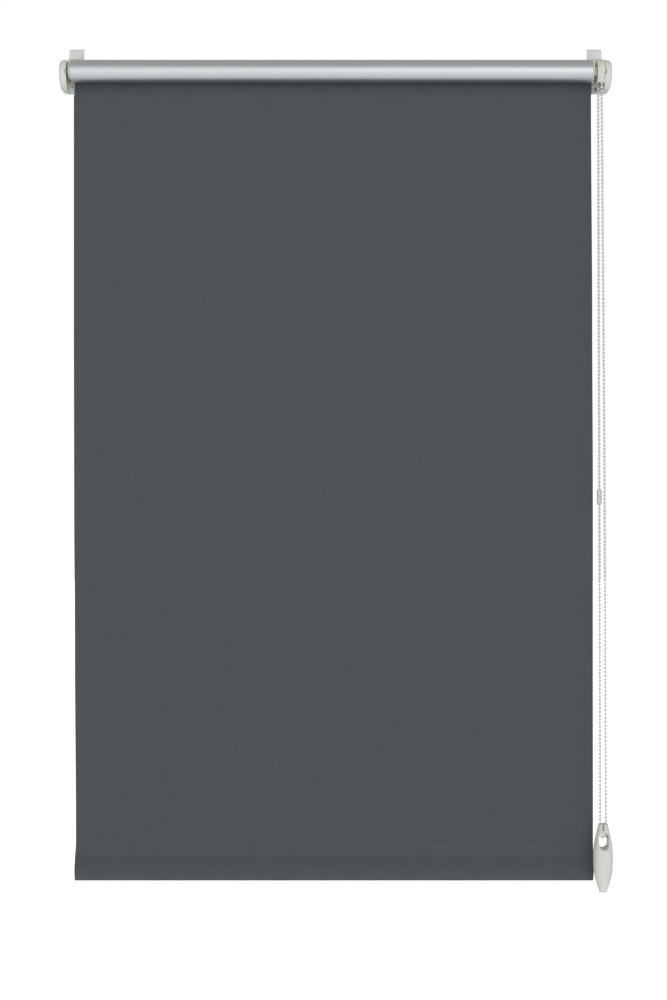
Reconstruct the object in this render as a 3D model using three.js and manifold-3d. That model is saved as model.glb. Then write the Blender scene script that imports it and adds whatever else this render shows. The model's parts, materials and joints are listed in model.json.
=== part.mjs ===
// A chain-drive roller blind that clamps over a window sash without drilling, with its fabric
// let down. Millimetres. +X runs along the roller to the chain side, +Y to the window, +Z up.
// The origin lies on top of the sash, at its room-side edge, midway between the two clamps.
import * as THREE from "three";
import { mergeVertices } from "three/addons/utils/BufferGeometryUtils.js";
import Module from "manifold-3d";

const wasm = await Module();
wasm.setup();

// ---- Driving dimensions ----

const GAP = 0.3; // running clearance, and the space kept between neighbours that only touch
const STEEL = 1.2; // sheet steel of the clamps
const FOAM = 1; // self-adhesive foam pads

const SASH = 18; // sash thickness that the clamps are set to
const CLAMP_X = 289; // middle of each clamp from the middle of the blind
const CLAMP_WIDTH = 16.2;
const PLATE_TOP = FOAM + STEEL;
const PLATE_BOTTOM = -47.3;
const PLATE_BACK = -FOAM;
const PLATE_FRONT = PLATE_BACK - STEEL;
const FLANGE_REACH = 11.5; // how far the back plate's top flange reaches over the sash
const HOOK_TOP = PLATE_TOP + 0.2 + STEEL;
const HOOK_DROP = 12; // height of the hook behind the sash
const HOOK_LEG = 9.2; // width of the hook from its front edge to behind the sash
const HOOK_EDGE = 1.4; // depth of the hook's front edge, which is as wide as the clamp
const FLANGE_WIDTH = 11.6; // width of the back plate's flange, clear of its bend
const LOCK_Y = 8.5; // lock screw, measured into the sash
const HOOK_TRAVEL = { thinner: 2, thicker: 4 }; // how far the clamp takes other sashes

const AXIS_Y = -19.5;
const AXIS_Z = PLATE_TOP - 28.9;

const TUBE_RADIUS = 12.5;
const TUBE_WALL = 0.8;
const TUBE_IDLE_END = -291.7;
const TUBE_DRIVE_END = 283;

const FABRIC = 0.35; // thickness
const FABRIC_LEFT = -291.2;
const FABRIC_RIGHT = 285.2;
const FABRIC_INNER = TUBE_RADIUS + 0.2; // radius of the fabric's inner face on the tube
const WRAP_ANGLE = 80; // degrees of fabric on the tube above its rear tangent
const HEM_TOP = -880.5;
const HEM_BOTTOM = -924.3;

const COVER = { inner: 296.4, outer: 304.2, top: 12.1, bottom: 21, wall: 1.4, dome: 4.4 };
const COVER_BACK = PLATE_FRONT - 1.5;
const ARM = { inner: 296.6, outer: 298.6, foot: 1.1 };

const BEAD = 3.2; // bead diameter of the chain
const PITCH = 4.24; // bead to bead
const POCKETS = 11;
const WHEEL_RADIUS = PITCH * POCKETS / (2 * Math.PI);
const WHEEL = { inner: 290.1, outer: 294.5, flange: 9.2, sleeve: 5.3, bore: 3.8 };
const GUARD = { inner: 288.3, outer: 296.1, radius: 12.3, drop: 14.6, mouth: 10.65, wall: 1.3 };
const CHAIN_X = (WHEEL.inner + WHEEL.outer) / 2;
const CHAIN_TOP = AXIS_Z - 9.8; // where the two strands leave the wheel

const SPINDLE = { radius: 3.4, end: 256.5, tenon: 6 };
const PLUG_RADIUS = TUBE_RADIUS - TUBE_WALL - GAP;

const WEIGHT = { x: 295.8, top: -858, bottom: -933.7, widest: -895.4, radius: 11.1 };
const LOOP = { half: 3.1, bend: 4.3, centre: -869 }; // chain inside the weight
const HOLE = { half: 5.25, top: -866.7, bottom: -885.9 }; // window through the weight
const CONNECTOR = { radius: 2.75, bore: 1.9, length: 16.4, middle: -496.8 };

// ---- Finishes ----

const finish = (color, roughness, metalness) =>
  new THREE.MeshStandardMaterial({ color, roughness, metalness });

const whiteSteel = finish(0xe9e9e6, 0.35, 0);
const zincSteel = finish(0xb9bcc0, 0.4, 1);
const whitePlastic = finish(0xe6e7e2, 0.4, 0);
const creamPlastic = finish(0xdcdcd1, 0.45, 0);
const clearPlastic = finish(0xdcdedb, 0.25, 0);
const aluminium = finish(0xc9cdcf, 0.3, 1);
const fabricGrey = finish(0x53585c, 0.95, 0);
const foam = finish(0xf1f1ee, 0.9, 0);
const tape = finish(0xdedcd2, 0.6, 0);

// ---- Geometry helpers ----

const X_AXIS = new THREE.Vector3(1, 0, 0);
const Y_AXIS = new THREE.Vector3(0, 1, 0);
const Z_AXIS = new THREE.Vector3(0, 0, 1);
const SIDE_VIEW = new THREE.Matrix4().makeBasis(Y_AXIS, Z_AXIS, X_AXIS);

// A closed mesh as a solid that booleans can work on.
function solidFrom(geometry) {
  const bare = geometry.clone();
  bare.deleteAttribute("normal");
  bare.deleteAttribute("uv");
  const merged = mergeVertices(bare, 1e-4);
  const vertProperties = merged.attributes.position.array;
  const triVerts = new Uint32Array(merged.index.array);
  return new wasm.Manifold(new wasm.Mesh({ numProp: 3, vertProperties, triVerts }));
}

function geometryFrom(solid) {
  const { vertProperties, triVerts } = solid.getMesh();
  const geometry = new THREE.BufferGeometry();
  geometry.setAttribute("position", new THREE.BufferAttribute(vertProperties, 3));
  geometry.setIndex(new THREE.BufferAttribute(triVerts, 1));
  return geometry;
}

const joined = (first, ...others) =>
  geometryFrom(others.reduce((sum, other) => sum.add(solidFrom(other)), solidFrom(first)));

const cut = (first, ...tools) =>
  geometryFrom(tools.reduce((rest, tool) => rest.subtract(solidFrom(tool)), solidFrom(first)));

const kept = (first, zone) => geometryFrom(solidFrom(first).intersect(solidFrom(zone)));

// A box between two corners, given as its ranges along X, Y and Z.
function block([x0, x1], [y0, y1], [z0, z1]) {
  const box = new THREE.BoxGeometry(x1 - x0, y1 - y0, z1 - z0);
  return box.translate((x0 + x1) / 2, (y0 + y1) / 2, (z0 + z1) / 2);
}

// A shape drawn in Y and Z, carried along X.
function alongX(shape, [from, to], curveSegments = 8) {
  const depth = to - from;
  const bar = new THREE.ExtrudeGeometry(shape, { depth, bevelEnabled: false, curveSegments });
  return bar.applyMatrix4(SIDE_VIEW).translate(from, 0, 0);
}

// A profile of [x, radius] points turned about the X axis.
function turnedX(profile, segments = 24) {
  const points = profile.map(([x, radius]) => new THREE.Vector2(radius, x));
  return new THREE.LatheGeometry(points, segments).rotateZ(-Math.PI / 2);
}

// A profile of [z, radius] points turned about the Z axis.
function turnedZ(profile, segments = 24) {
  const points = profile.map(([z, radius]) => new THREE.Vector2(radius, z));
  return new THREE.LatheGeometry(points, segments).rotateX(Math.PI / 2);
}

// The closed profile of a ring or sleeve.
const sleeve = ([from, to], inside, outside) => [
  [from, inside],
  [from, outside],
  [to, outside],
  [to, inside],
  [from, inside],
];

// The closed profile of a plain disc or rod.
const rod = ([from, to], radius) => [
  [from, 0],
  [from, radius],
  [to, radius],
  [to, 0],
];

const drillX = (range, radius, y = 0, z = 0) =>
  turnedX(rod(range, radius), 16).translate(0, y, z);

function polygon(radius, sides) {
  const shape = new THREE.Shape();
  for (let i = 0; i < sides; i += 1) {
    const angle = 2 * Math.PI * (i + 0.5) / sides;
    shape[i ? "lineTo" : "moveTo"](radius * Math.cos(angle), radius * Math.sin(angle));
  }
  return shape;
}

const tubeAlong = (extrudePath, radius, sides, steps) =>
  new THREE.ExtrudeGeometry(polygon(radius, sides), { steps, extrudePath });

class Coil extends THREE.Curve {
  constructor(radius, [from, to], turns) {
    super();
    Object.assign(this, { radius, from, to, turns });
  }

  getPoint(t, target = new THREE.Vector3()) {
    const angle = 2 * Math.PI * this.turns * t;
    const x = this.from + (this.to - this.from) * t;
    return target.set(x, this.radius * Math.cos(angle), this.radius * Math.sin(angle));
  }
}

function add(group, name, geometry, material) {
  const mesh = new THREE.Mesh(geometry, material);
  mesh.name = name;
  group.add(mesh);
  return mesh;
}

// ---- Clamps: made for the chain side; the other side is their mirror image ----

const CLAMP_SPAN = [CLAMP_X - CLAMP_WIDTH / 2, CLAMP_X + CLAMP_WIDTH / 2];
const LEG_SPAN = [CLAMP_X - HOOK_LEG / 2, CLAMP_X + HOOK_LEG / 2];
const FLANGE_SPAN = [CLAMP_X - FLANGE_WIDTH / 2, CLAMP_X + FLANGE_WIDTH / 2];

// Two blocks that narrow a strip from the clamp's width to a smaller span.
function shoulders(span, y, z) {
  const beside = [[CLAMP_SPAN[0] - 1, span[0]], [span[1], CLAMP_SPAN[1] + 1]];
  return beside.map((x) => block(x, y, z));
}
const SCREW_HOLE = 1.6;

// Bent steel plate: in front of the sash, with a flange over its top.
function backPlate() {
  const bend = 2;
  const side = new THREE.Shape();
  side.moveTo(PLATE_FRONT, PLATE_BOTTOM);
  side.lineTo(PLATE_BACK, PLATE_BOTTOM);
  side.lineTo(PLATE_BACK, FOAM);
  side.lineTo(FLANGE_REACH, FOAM);
  side.lineTo(FLANGE_REACH, PLATE_TOP);
  side.lineTo(PLATE_FRONT + bend, PLATE_TOP);
  side.absarc(PLATE_FRONT + bend, PLATE_TOP - bend, bend, Math.PI / 2, Math.PI, false);
  const plate = alongX(side, CLAMP_SPAN, 4);
  const lockHole = turnedZ(rod([-1, 4], SCREW_HOLE), 12).translate(CLAMP_X, LOCK_Y, 0);
  const armHole = new THREE.CylinderGeometry(SCREW_HOLE, SCREW_HOLE, 4, 12);
  armHole.translate(CLAMP_X, PLATE_BACK, ARM_SCREW_Z);
  return cut(plate, lockHole, armHole, ...shoulders(FLANGE_SPAN, [1, FLANGE_REACH + 1], [0, 4]));
}

// The hook that slides over the back plate's flange and grips behind the sash.
function clampHook() {
  const front = 0.6;
  const lip = SASH + FOAM;
  const under = HOOK_TOP - STEEL;
  const side = new THREE.Shape();
  side.moveTo(front, under);
  side.lineTo(lip, under);
  side.lineTo(lip, HOOK_TOP - HOOK_DROP);
  side.lineTo(lip + STEEL, HOOK_TOP - HOOK_DROP);
  side.lineTo(lip + STEEL, HOOK_TOP - 2);
  side.absarc(lip + STEEL - 2, HOOK_TOP - 2, 2, 0, Math.PI / 2, false);
  side.lineTo(front, HOOK_TOP);
  const strip = alongX(side, CLAMP_SPAN, 4);
  const half = SCREW_HOLE + 0.1;
  const slot = [LOCK_Y - HOOK_TRAVEL.thicker, LOCK_Y + HOOK_TRAVEL.thinner];
  const ends = slot.map((y) => turnedZ(rod([0, 6], half), 12).translate(CLAMP_X, y, 0));
  const middle = block([CLAMP_X - half, CLAMP_X + half], slot, [0, 6]);
  return cut(strip, middle, ...ends, ...shoulders(LEG_SPAN, [front + HOOK_EDGE, lip + 3], [-20, 6]));
}

const seatPad = () => block(FLANGE_SPAN, [0.4, 5.8], [0, FOAM]);
const backPad = () => block(CLAMP_SPAN, [PLATE_BACK, 0], [PLATE_BOTTOM + 16, PLATE_BOTTOM + 46]);
const lipPad = () => block(LEG_SPAN, [SASH, SASH + FOAM], [HOOK_TOP - HOOK_DROP, -0.5]);

// Pan-head screw with a cross recess, modelled with its head's underside at z = 0.
function panScrew(shank, headRadius, headHeight, length) {
  const body = turnedZ([
    [-length, 0],
    [-length, shank],
    [0, shank],
    [0, headRadius],
    [headHeight * 0.5, headRadius],
    [headHeight, headRadius * 0.6],
    [headHeight, 0],
  ], 16);
  const arm = headRadius * 0.62;
  const deep = [headHeight * 0.45, headHeight + 1];
  return cut(body, block([-arm, arm], [-0.35, 0.35], deep), block([-0.35, 0.35], [-arm, arm], deep));
}

// ---- Bracket arms and end covers ----

const ARM_SCREW_Z = -43.5;
const BLOCK = { inner: 286.2, outer: 296.1, front: -5.6, top: -34, bottom: -47 };

// The side outline of an end cover, drawn inset by a wall or a gap, and open to the rear.
function coverOutline(inset, back) {
  const top = AXIS_Z + COVER.top - inset;
  const radius = COVER.top - inset;
  const front = AXIS_Y - radius;
  const bottom = AXIS_Z - COVER.bottom + inset;
  const side = new THREE.Shape();
  side.moveTo(back, bottom);
  side.lineTo(back, top);
  side.lineTo(AXIS_Y, top);
  side.absarc(AXIS_Y, AXIS_Z, radius, Math.PI / 2, Math.PI, false);
  side.bezierCurveTo(front, AXIS_Z - 12, front + 7, bottom, front + 17, bottom);
  return side;
}

// A dished moulding with a domed outer face, snapped over the arm.
function endCover() {
  const bevel = COVER.dome;
  const depth = COVER.outer - COVER.inner;
  const pillow = new THREE.ExtrudeGeometry(coverOutline(0, COVER_BACK), {
    depth,
    bevelThickness: bevel,
    bevelSize: bevel,
    bevelOffset: -bevel,
    bevelSegments: 4,
    curveSegments: 7,
  });
  pillow.applyMatrix4(SIDE_VIEW).translate(COVER.inner - bevel, 0, 0);
  const outboard = block([COVER.inner, COVER.outer], [-60, 10], [-80, 20]);
  const hollow = [COVER.inner - 1, COVER.outer - COVER.dome + 1];
  const snapSlot = block([296.9, 298], [-40, AXIS_Y], [AXIS_Z - 5.5, AXIS_Z]);
  return cut(kept(pillow, outboard), alongX(coverOutline(COVER.wall, 0), hollow, 7), snapSlot);
}

// The moulded arm: foot on the back plate, block below, side plate that carries the roller.
function bracketArm(axisHole) {
  const back = PLATE_FRONT - 0.1;
  const plate = alongX(coverOutline(COVER.wall + GAP, back), [ARM.inner, ARM.outer], 6);
  const foot = block([CLAMP_SPAN[0] + 0.3, ARM.outer], [back - ARM.foot, back], [-36, -8]);
  const seat = block([BLOCK.inner, BLOCK.outer], [BLOCK.front, back], [BLOCK.bottom, BLOCK.top]);
  const link = block([BLOCK.outer - 1, ARM.outer], [BLOCK.front, back], [-45.4, BLOCK.top]);
  const coreOut = block([291.4, 294.3], [-10, back - 1], [-41.4, -37.6]);
  const screwHole = turnedZ([
    [-4, 0],
    [-4, SCREW_HOLE],
    [0, SCREW_HOLE],
    [1.6, 3.1],
    [3, 3.1],
    [3, 0],
  ], 16);
  screwHole.rotateX(Math.PI / 2).translate(CLAMP_X, BLOCK.front + 1.6, ARM_SCREW_Z);
  return cut(joined(plate, foot, seat, link), coreOut, screwHole, axisHole);
}

// Countersunk screw that holds the arm on the back plate, head flush with the block's face.
function armScrew() {
  const screw = turnedZ([
    [-3.2, 0],
    [-3.2, SCREW_HOLE - 0.2],
    [0.1, SCREW_HOLE - 0.2],
    [1.5, 2.8],
    [1.5, 0],
  ], 16);
  const recess = [0.7, 3];
  const cross = cut(
    screw,
    block([-1.6, 1.6], [-0.35, 0.35], recess),
    block([-0.35, 0.35], [-1.6, 1.6], recess),
  );
  return cross.rotateX(Math.PI / 2).translate(CLAMP_X, BLOCK.front + 1.6, ARM_SCREW_Z);
}

function addClamp(side, word, axisHole) {
  add(side, `back_plate_${word}`, backPlate(), whiteSteel);
  add(side, `clamp_hook_${word}`, clampHook(), whiteSteel);
  add(side, `seat_pad_${word}`, seatPad(), foam);
  add(side, `back_pad_${word}`, backPad(), foam);
  add(side, `lip_pad_${word}`, lipPad(), foam);
  add(side, `bracket_arm_${word}`, bracketArm(axisHole), creamPlastic);
  add(side, `arm_screw_${word}`, armScrew(), zincSteel);
  add(side, `end_cover_${word}`, endCover(), whitePlastic);
  const lock = add(side, `lock_screw_${word}`, panScrew(1.3, 2.7, 1.6, 3.2), zincSteel);
  lock.position.set(CLAMP_X, LOCK_Y, HOOK_TOP + 0.1);
}

// ---- Idle end, drawn outboard along +X like the clamps ----

const PIN = { radius: 2.5, tip: 300.4, tail: 266, collar: [286.7, 288.7], travel: 4.5 };
const IDLE_CAVITY = 4.6;

function idlePlug() {
  const face = -TUBE_IDLE_END;
  return turnedX([
    [266, IDLE_CAVITY],
    [266, PLUG_RADIUS],
    [face, PLUG_RADIUS],
    [face, 8.85],
    [294.7, 8.85],
    [294.7, PIN.radius + GAP],
    [289, PIN.radius + GAP],
    [289, IDLE_CAVITY],
    [266, IDLE_CAVITY],
  ]);
}

// Spring-loaded pin: pushed in to free the roller from its arm.
function idlePin() {
  const [collarIn, collarOut] = PIN.collar;
  return turnedX([
    [PIN.tail, 0],
    [PIN.tail, PIN.radius],
    [collarIn, PIN.radius],
    [collarIn, IDLE_CAVITY - 0.4],
    [collarOut, IDLE_CAVITY - 0.4],
    [collarOut, PIN.radius],
    [PIN.tip - 0.8, PIN.radius],
    [PIN.tip, PIN.radius - 0.8],
    [PIN.tip, 0],
  ], 16);
}

const pinRetainer = () => turnedX(sleeve([267.4, 269.4], PIN.radius + 0.4, IDLE_CAVITY - 0.2), 16);
const idleSpring = () => tubeAlong(new Coil(3.5, [270.2, 285.9], 5), 0.45, 5, 50);

// ---- Chain drive ----

const SLEEVE_END = 279;

// Fixed spindle: a square tenon in the arm, a neck through the guard, a spindle in the tube.
function driveHub() {
  const spindle = turnedX([
    [SPINDLE.end, 0],
    [SPINDLE.end, SPINDLE.radius],
    [WHEEL.outer + GAP, SPINDLE.radius],
    [WHEEL.outer + GAP, 4],
    [ARM.inner - 0.2, 4],
    [ARM.inner - 0.2, 0],
  ]);
  const half = SPINDLE.tenon / 2;
  const tenon = block([ARM.inner - 1, 299.4], [-half, half], [-half, half]);
  return cut(joined(spindle, tenon), drillX([SPINDLE.end - 1, 270], 1.6));
}

const hubScrew = () => panScrew(1.3, 4.2, 2, 12).rotateY(-Math.PI / 2).translate(256, 0, 0);
const wrapSpring = (from) =>
  tubeAlong(new Coil(4.5, [from, from + 6], 6), 0.4, 4, 60);

// Bead positions round the wheel, the first one at the rear.
const beadAngle = (index) => 2 * Math.PI * index / POCKETS;

function atWheel(geometry, angle) {
  const y = WHEEL_RADIUS * Math.cos(angle);
  const z = WHEEL_RADIUS * Math.sin(angle);
  return geometry.translate(CHAIN_X, y, z);
}

// Pocketed wheel with the sleeve that turns the roller.
function chainWheel() {
  const rim = turnedX([
    [SLEEVE_END, WHEEL.bore],
    [SLEEVE_END, WHEEL.sleeve],
    [WHEEL.inner, WHEEL.sleeve],
    [WHEEL.inner, WHEEL.flange],
    [CHAIN_X - 1.6, WHEEL.flange],
    [CHAIN_X - 0.8, 8.4],
    [CHAIN_X - 0.8, 6.4],
    [CHAIN_X + 0.8, 6.4],
    [CHAIN_X + 0.8, 8.4],
    [CHAIN_X + 1.6, WHEEL.flange],
    [WHEEL.outer, WHEEL.flange],
    [WHEEL.outer, WHEEL.bore],
    [SLEEVE_END, WHEEL.bore],
  ], 33);
  const pockets = [];
  for (let i = 0; i < POCKETS; i += 1) {
    pockets.push(atWheel(new THREE.SphereGeometry(BEAD / 2 + GAP, 7, 5), beadAngle(i)));
  }
  return cut(rim, ...pockets);
}

// The beads that lie in the wheel's upper pockets, on their thread.
function chainOnWheel() {
  const thread = new THREE.CatmullRomCurve3();
  const beads = [];
  for (let i = 0; i <= 5; i += 1) {
    beads.push(atWheel(new THREE.SphereGeometry(BEAD / 2, 8, 6), beadAngle(i)));
  }
  for (let i = 0; i <= 10; i += 1) {
    const angle = beadAngle(i / 2);
    const y = WHEEL_RADIUS * Math.cos(angle);
    thread.points.push(new THREE.Vector3(CHAIN_X, y, WHEEL_RADIUS * Math.sin(angle)));
  }
  return joined(tubeAlong(thread, 0.5, 6, 15), ...beads);
}

// Plug pressed into the tube, with a narrow flange over its end.
function drivePlug() {
  const cavity = WHEEL.sleeve + 0.2;
  const flange = TUBE_DRIVE_END + 0.2;
  return turnedX([
    [256.8, WHEEL.bore],
    [256.8, PLUG_RADIUS],
    [flange, PLUG_RADIUS],
    [flange, TUBE_RADIUS],
    [flange + 1.2, TUBE_RADIUS],
    [flange + 1.2, cavity],
    [261, cavity],
    [261, WHEEL.bore],
    [256.8, WHEEL.bore],
  ]);
}

// The side outline of the chain guard about the roller's axis: round, with a mouth below.
function guardOutline(inset, drop) {
  const radius = GUARD.radius - inset;
  const mouth = GUARD.mouth - inset;
  const start = Math.acos(mouth / radius);
  const side = new THREE.Shape();
  side.moveTo(-mouth, -drop);
  side.lineTo(mouth, -drop);
  side.absarc(0, 0, radius, -start, Math.PI + start, false);
  return side;
}

function chainGuard() {
  const shell = alongX(guardOutline(0, GUARD.drop), [GUARD.inner, GUARD.outer], 8);
  const inside = [GUARD.inner + GUARD.wall, GUARD.outer + 1];
  const hollow = alongX(guardOutline(GUARD.wall, GUARD.drop + 1), inside, 8);
  const sleeveHole = drillX([GUARD.inner - 1, GUARD.outer], WHEEL.sleeve + GAP);
  return cut(shell, hollow, sleeveHole);
}

function guardLid() {
  const lid = alongX(guardOutline(GUARD.wall + 0.2, GUARD.drop), [294.9, GUARD.outer], 8);
  return cut(lid, drillX([290, 300], 4 + GAP));
}

// ---- Roller and curtain ----

function rollerTube() {
  const inner = TUBE_RADIUS - TUBE_WALL;
  return turnedX(sleeve([TUBE_IDLE_END, TUBE_DRIVE_END], inner, TUBE_RADIUS), 36);
}

// Part of a thin ring in the Y and Z plane, from one angle to another in degrees.
function arcStrip(inside, outside, from, to) {
  const start = THREE.MathUtils.degToRad(from);
  const end = THREE.MathUtils.degToRad(to);
  const side = new THREE.Shape();
  side.absarc(0, 0, outside, start, end, false);
  side.absarc(0, 0, inside, end, start, true);
  return side;
}

// Gap in degrees that is GAP / 2 long at the fabric's radius.
const HALF_GAP_ANGLE = THREE.MathUtils.radToDeg(GAP / 2 / FABRIC_INNER);

const fabricWrap = () =>
  alongX(
    arcStrip(FABRIC_INNER, FABRIC_INNER + FABRIC, HALF_GAP_ANGLE, WRAP_ANGLE),
    [FABRIC_LEFT, FABRIC_RIGHT],
    6,
  );

const adhesiveStrip = () =>
  alongX(
    arcStrip(TUBE_RADIUS + 0.03, FABRIC_INNER - 0.03, WRAP_ANGLE - 36, WRAP_ANGLE - 2),
    [FABRIC_LEFT + 2, FABRIC_RIGHT - 2],
    3,
  );

const FABRIC_Y = [AXIS_Y + FABRIC_INNER, AXIS_Y + FABRIC_INNER + FABRIC];

const fabricSheet = () =>
  block([FABRIC_LEFT, FABRIC_RIGHT], FABRIC_Y, [HEM_TOP + 0.1, AXIS_Z - GAP / 2]);

const BAR = { y: -6.6, z: -915, halfHeight: 7.6, halfDepth: 1.8 };

// The pocket's side outline: flat at the seam, swelling over the bar, closed below.
function pocketOutline(inset) {
  const half = BAR.halfDepth + 0.7 - inset;
  const neck = 0.55 - Math.min(inset, 0.4);
  const top = HEM_TOP - inset;
  const bottom = HEM_BOTTOM + inset;
  const side = new THREE.Shape();
  side.moveTo(BAR.y - neck, top);
  side.lineTo(BAR.y - neck, top - 12);
  side.bezierCurveTo(BAR.y - neck, top - 18, BAR.y - half, BAR.z + 12, BAR.y - half, BAR.z + 2);
  side.bezierCurveTo(BAR.y - half, bottom + 2, BAR.y - half * 0.6, bottom, BAR.y, bottom);
  side.bezierCurveTo(BAR.y + half * 0.6, bottom, BAR.y + half, bottom + 2, BAR.y + half, BAR.z + 2);
  side.bezierCurveTo(BAR.y + half, BAR.z + 12, BAR.y + neck, top - 18, BAR.y + neck, top - 12);
  side.lineTo(BAR.y + neck, top);
  return side;
}

const hemPocket = () => {
  const cloth = alongX(pocketOutline(0), [FABRIC_LEFT - 0.4, FABRIC_RIGHT + 0.8], 6);
  return cut(cloth, alongX(pocketOutline(0.4), [FABRIC_LEFT - 2, FABRIC_RIGHT + 2], 6));
};

const BAR_SPAN = [FABRIC_LEFT + 4.5, FABRIC_RIGHT - 4.5];

function ovalBar([from, to], grow) {
  const side = new THREE.Shape();
  side.absellipse(BAR.y, BAR.z, BAR.halfDepth + grow, BAR.halfHeight + grow, 0, 2 * Math.PI);
  return alongX(side, [from, to], 8);
}

// ---- Chain, connector and weight ----

const REAR_TOP = new THREE.Vector3(291.7, AXIS_Y + WHEEL_RADIUS, CHAIN_TOP);
const FRONT_TOP = new THREE.Vector3(292.9, AXIS_Y - WHEEL_RADIUS, CHAIN_TOP);
const REAR_FOOT = new THREE.Vector3(WEIGHT.x - LOOP.half, AXIS_Y, WEIGHT.top + 0.5);
const FRONT_FOOT = new THREE.Vector3(WEIGHT.x + LOOP.half, AXIS_Y, WEIGHT.top + 0.5);

const strand = (top, foot) => tubeAlong(new THREE.LineCurve3(top, foot), BEAD / 2, 8, 20);

// The chain's bottom loop, round the tongue inside the weight.
function weightLoop() {
  const route = [];
  const { half, bend, centre } = LOOP;
  route.push([-half, WEIGHT.top], [-half, WEIGHT.top - 5]);
  for (let i = 0; i <= 6; i += 1) {
    const angle = Math.PI * i / 6;
    route.push([-bend * Math.cos(angle), centre - bend * Math.sin(angle)]);
  }
  route.push([half, WEIGHT.top - 5], [half, WEIGHT.top]);
  const points = route.map(([x, z]) => new THREE.Vector3(WEIGHT.x + x, AXIS_Y, z));
  return tubeAlong(new THREE.CatmullRomCurve3(points), BEAD / 2, 8, 24);
}

// One half of the connector, on the +Z side of its middle, with two windows over the beads.
function connectorHalf() {
  const { radius, bore, length } = CONNECTOR;
  const end = length / 2;
  const shell = turnedZ([
    [0.1, bore],
    [0.1, radius],
    [end - 1, radius],
    [end, radius - 0.6],
    [end, bore],
    [0.1, bore],
  ], 16);
  return cut(shell, block([-4, 4], [-0.8, 0.8], [2, end - 2.4]));
}

const WEIGHT_CORE = { radius: 5.2, top: -892, bottom: -925 };

// One shell of the spindle-shaped weight: side -1 is the room side, 1 the window side.
function weightShell(side) {
  const { top, bottom, widest, radius } = WEIGHT;
  const body = turnedZ([
    [bottom, 0],
    [bottom, 4.2],
    [bottom + 0.8, 4.75],
    [bottom + 2.2, 4.6],
    [bottom + 14, 8.7],
    [bottom + 26, 10.7],
    [widest, radius],
    [widest + 10, 10.6],
    [widest + 22, 8.8],
    [top - 3, 5.8],
    [top, 5.3],
    [top, 0],
  ], 24);
  const halfSpace = side < 0 ? [-20, -0.1] : [0.1, 20];
  const rounding = [HOLE.bottom + HOLE.half, HOLE.top - HOLE.half];
  const hole = block([-HOLE.half, HOLE.half], [-20, 20], rounding);
  const holeEnds = rounding.map((z) =>
    new THREE.CylinderGeometry(HOLE.half, HOLE.half, 40, 20).translate(0, 0, z));
  const slit = block([-1.5, 0.2], [-20, -1], [HOLE.top + 1.8, top + 1]);
  const channel = turnedZ([
    [HOLE.top - 2, 0],
    [HOLE.top - 2, BEAD / 2 + 0.9],
    [top - 4, BEAD / 2 + 0.9],
    [top - 4, BEAD / 2 + 0.25],
    [top + 1, BEAD / 2 + 0.25],
    [top + 1, 0],
  ], 10);
  const left = channel.clone().translate(-LOOP.half, 0, 0);
  const right = channel.translate(LOOP.half, 0, 0);
  const core = turnedZ(rod([WEIGHT_CORE.bottom, WEIGHT_CORE.top], WEIGHT_CORE.radius), 16);
  const room = LOOP.bend + BEAD / 2 + GAP;
  const chamber = block([-room, room], [-2, 2], [LOOP.centre - room, LOOP.centre + 3.4]);
  const tongue = new THREE.CylinderGeometry(2.4, 2.4, 7, 16).translate(0, 0, LOOP.centre);
  const web = block([-1.1, 1.1], [-3.5, 3.5], [LOOP.centre, HOLE.top + 1]);
  const hollows = [hole, ...holeEnds, slit, chamber, left, right, core];
  const whole = joined(cut(body, ...hollows), tongue, web);
  return kept(whole, block([-20, 20], halfSpace, [bottom - 1, top + 1]));
}

const weightCore = () =>
  turnedZ(rod([WEIGHT_CORE.bottom + GAP, WEIGHT_CORE.top - GAP], WEIGHT_CORE.radius - GAP), 16);

// ---- Assembly ----

const blind = new THREE.Group();

const driveSide = new THREE.Group();
const idleSide = new THREE.Group();
idleSide.scale.x = -1;
blind.add(driveSide, idleSide);

const tenonHole = SPINDLE.tenon / 2 + GAP;
const squareHole = block([290, 302], [-tenonHole, tenonHole], [-tenonHole, tenonHole]);
squareHole.translate(0, AXIS_Y, AXIS_Z);
addClamp(driveSide, "right", squareHole);
addClamp(idleSide, "left", drillX([290, 302], PIN.radius + GAP, AXIS_Y, AXIS_Z));

const idleEnd = new THREE.Group();
idleEnd.position.set(0, AXIS_Y, AXIS_Z);
idleSide.add(idleEnd);
add(idleEnd, "idle_plug", idlePlug(), creamPlastic);
add(idleEnd, "idle_pin", idlePin(), whitePlastic);
add(idleEnd, "idle_spring", idleSpring(), zincSteel);
add(idleEnd, "pin_retainer", pinRetainer(), whitePlastic);

const onAxis = new THREE.Group();
onAxis.position.set(0, AXIS_Y, AXIS_Z);
blind.add(onAxis);
add(onAxis, "drive_hub", driveHub(), whitePlastic);
add(onAxis, "hub_screw", hubScrew(), zincSteel);
add(onAxis, "wrap_spring_inner", wrapSpring(262.5), zincSteel);
add(onAxis, "wrap_spring_outer", wrapSpring(271), zincSteel);
add(onAxis, "chain_wheel", chainWheel(), whitePlastic);
add(onAxis, "chain_on_wheel", chainOnWheel(), clearPlastic);
add(onAxis, "drive_plug", drivePlug(), creamPlastic);
add(onAxis, "chain_guard", chainGuard(), creamPlastic);
add(onAxis, "guard_lid", guardLid(), creamPlastic);
add(onAxis, "roller_tube", rollerTube(), aluminium);
add(onAxis, "adhesive_strip", adhesiveStrip(), tape);
add(onAxis, "fabric_wrap", fabricWrap(), fabricGrey);

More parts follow.
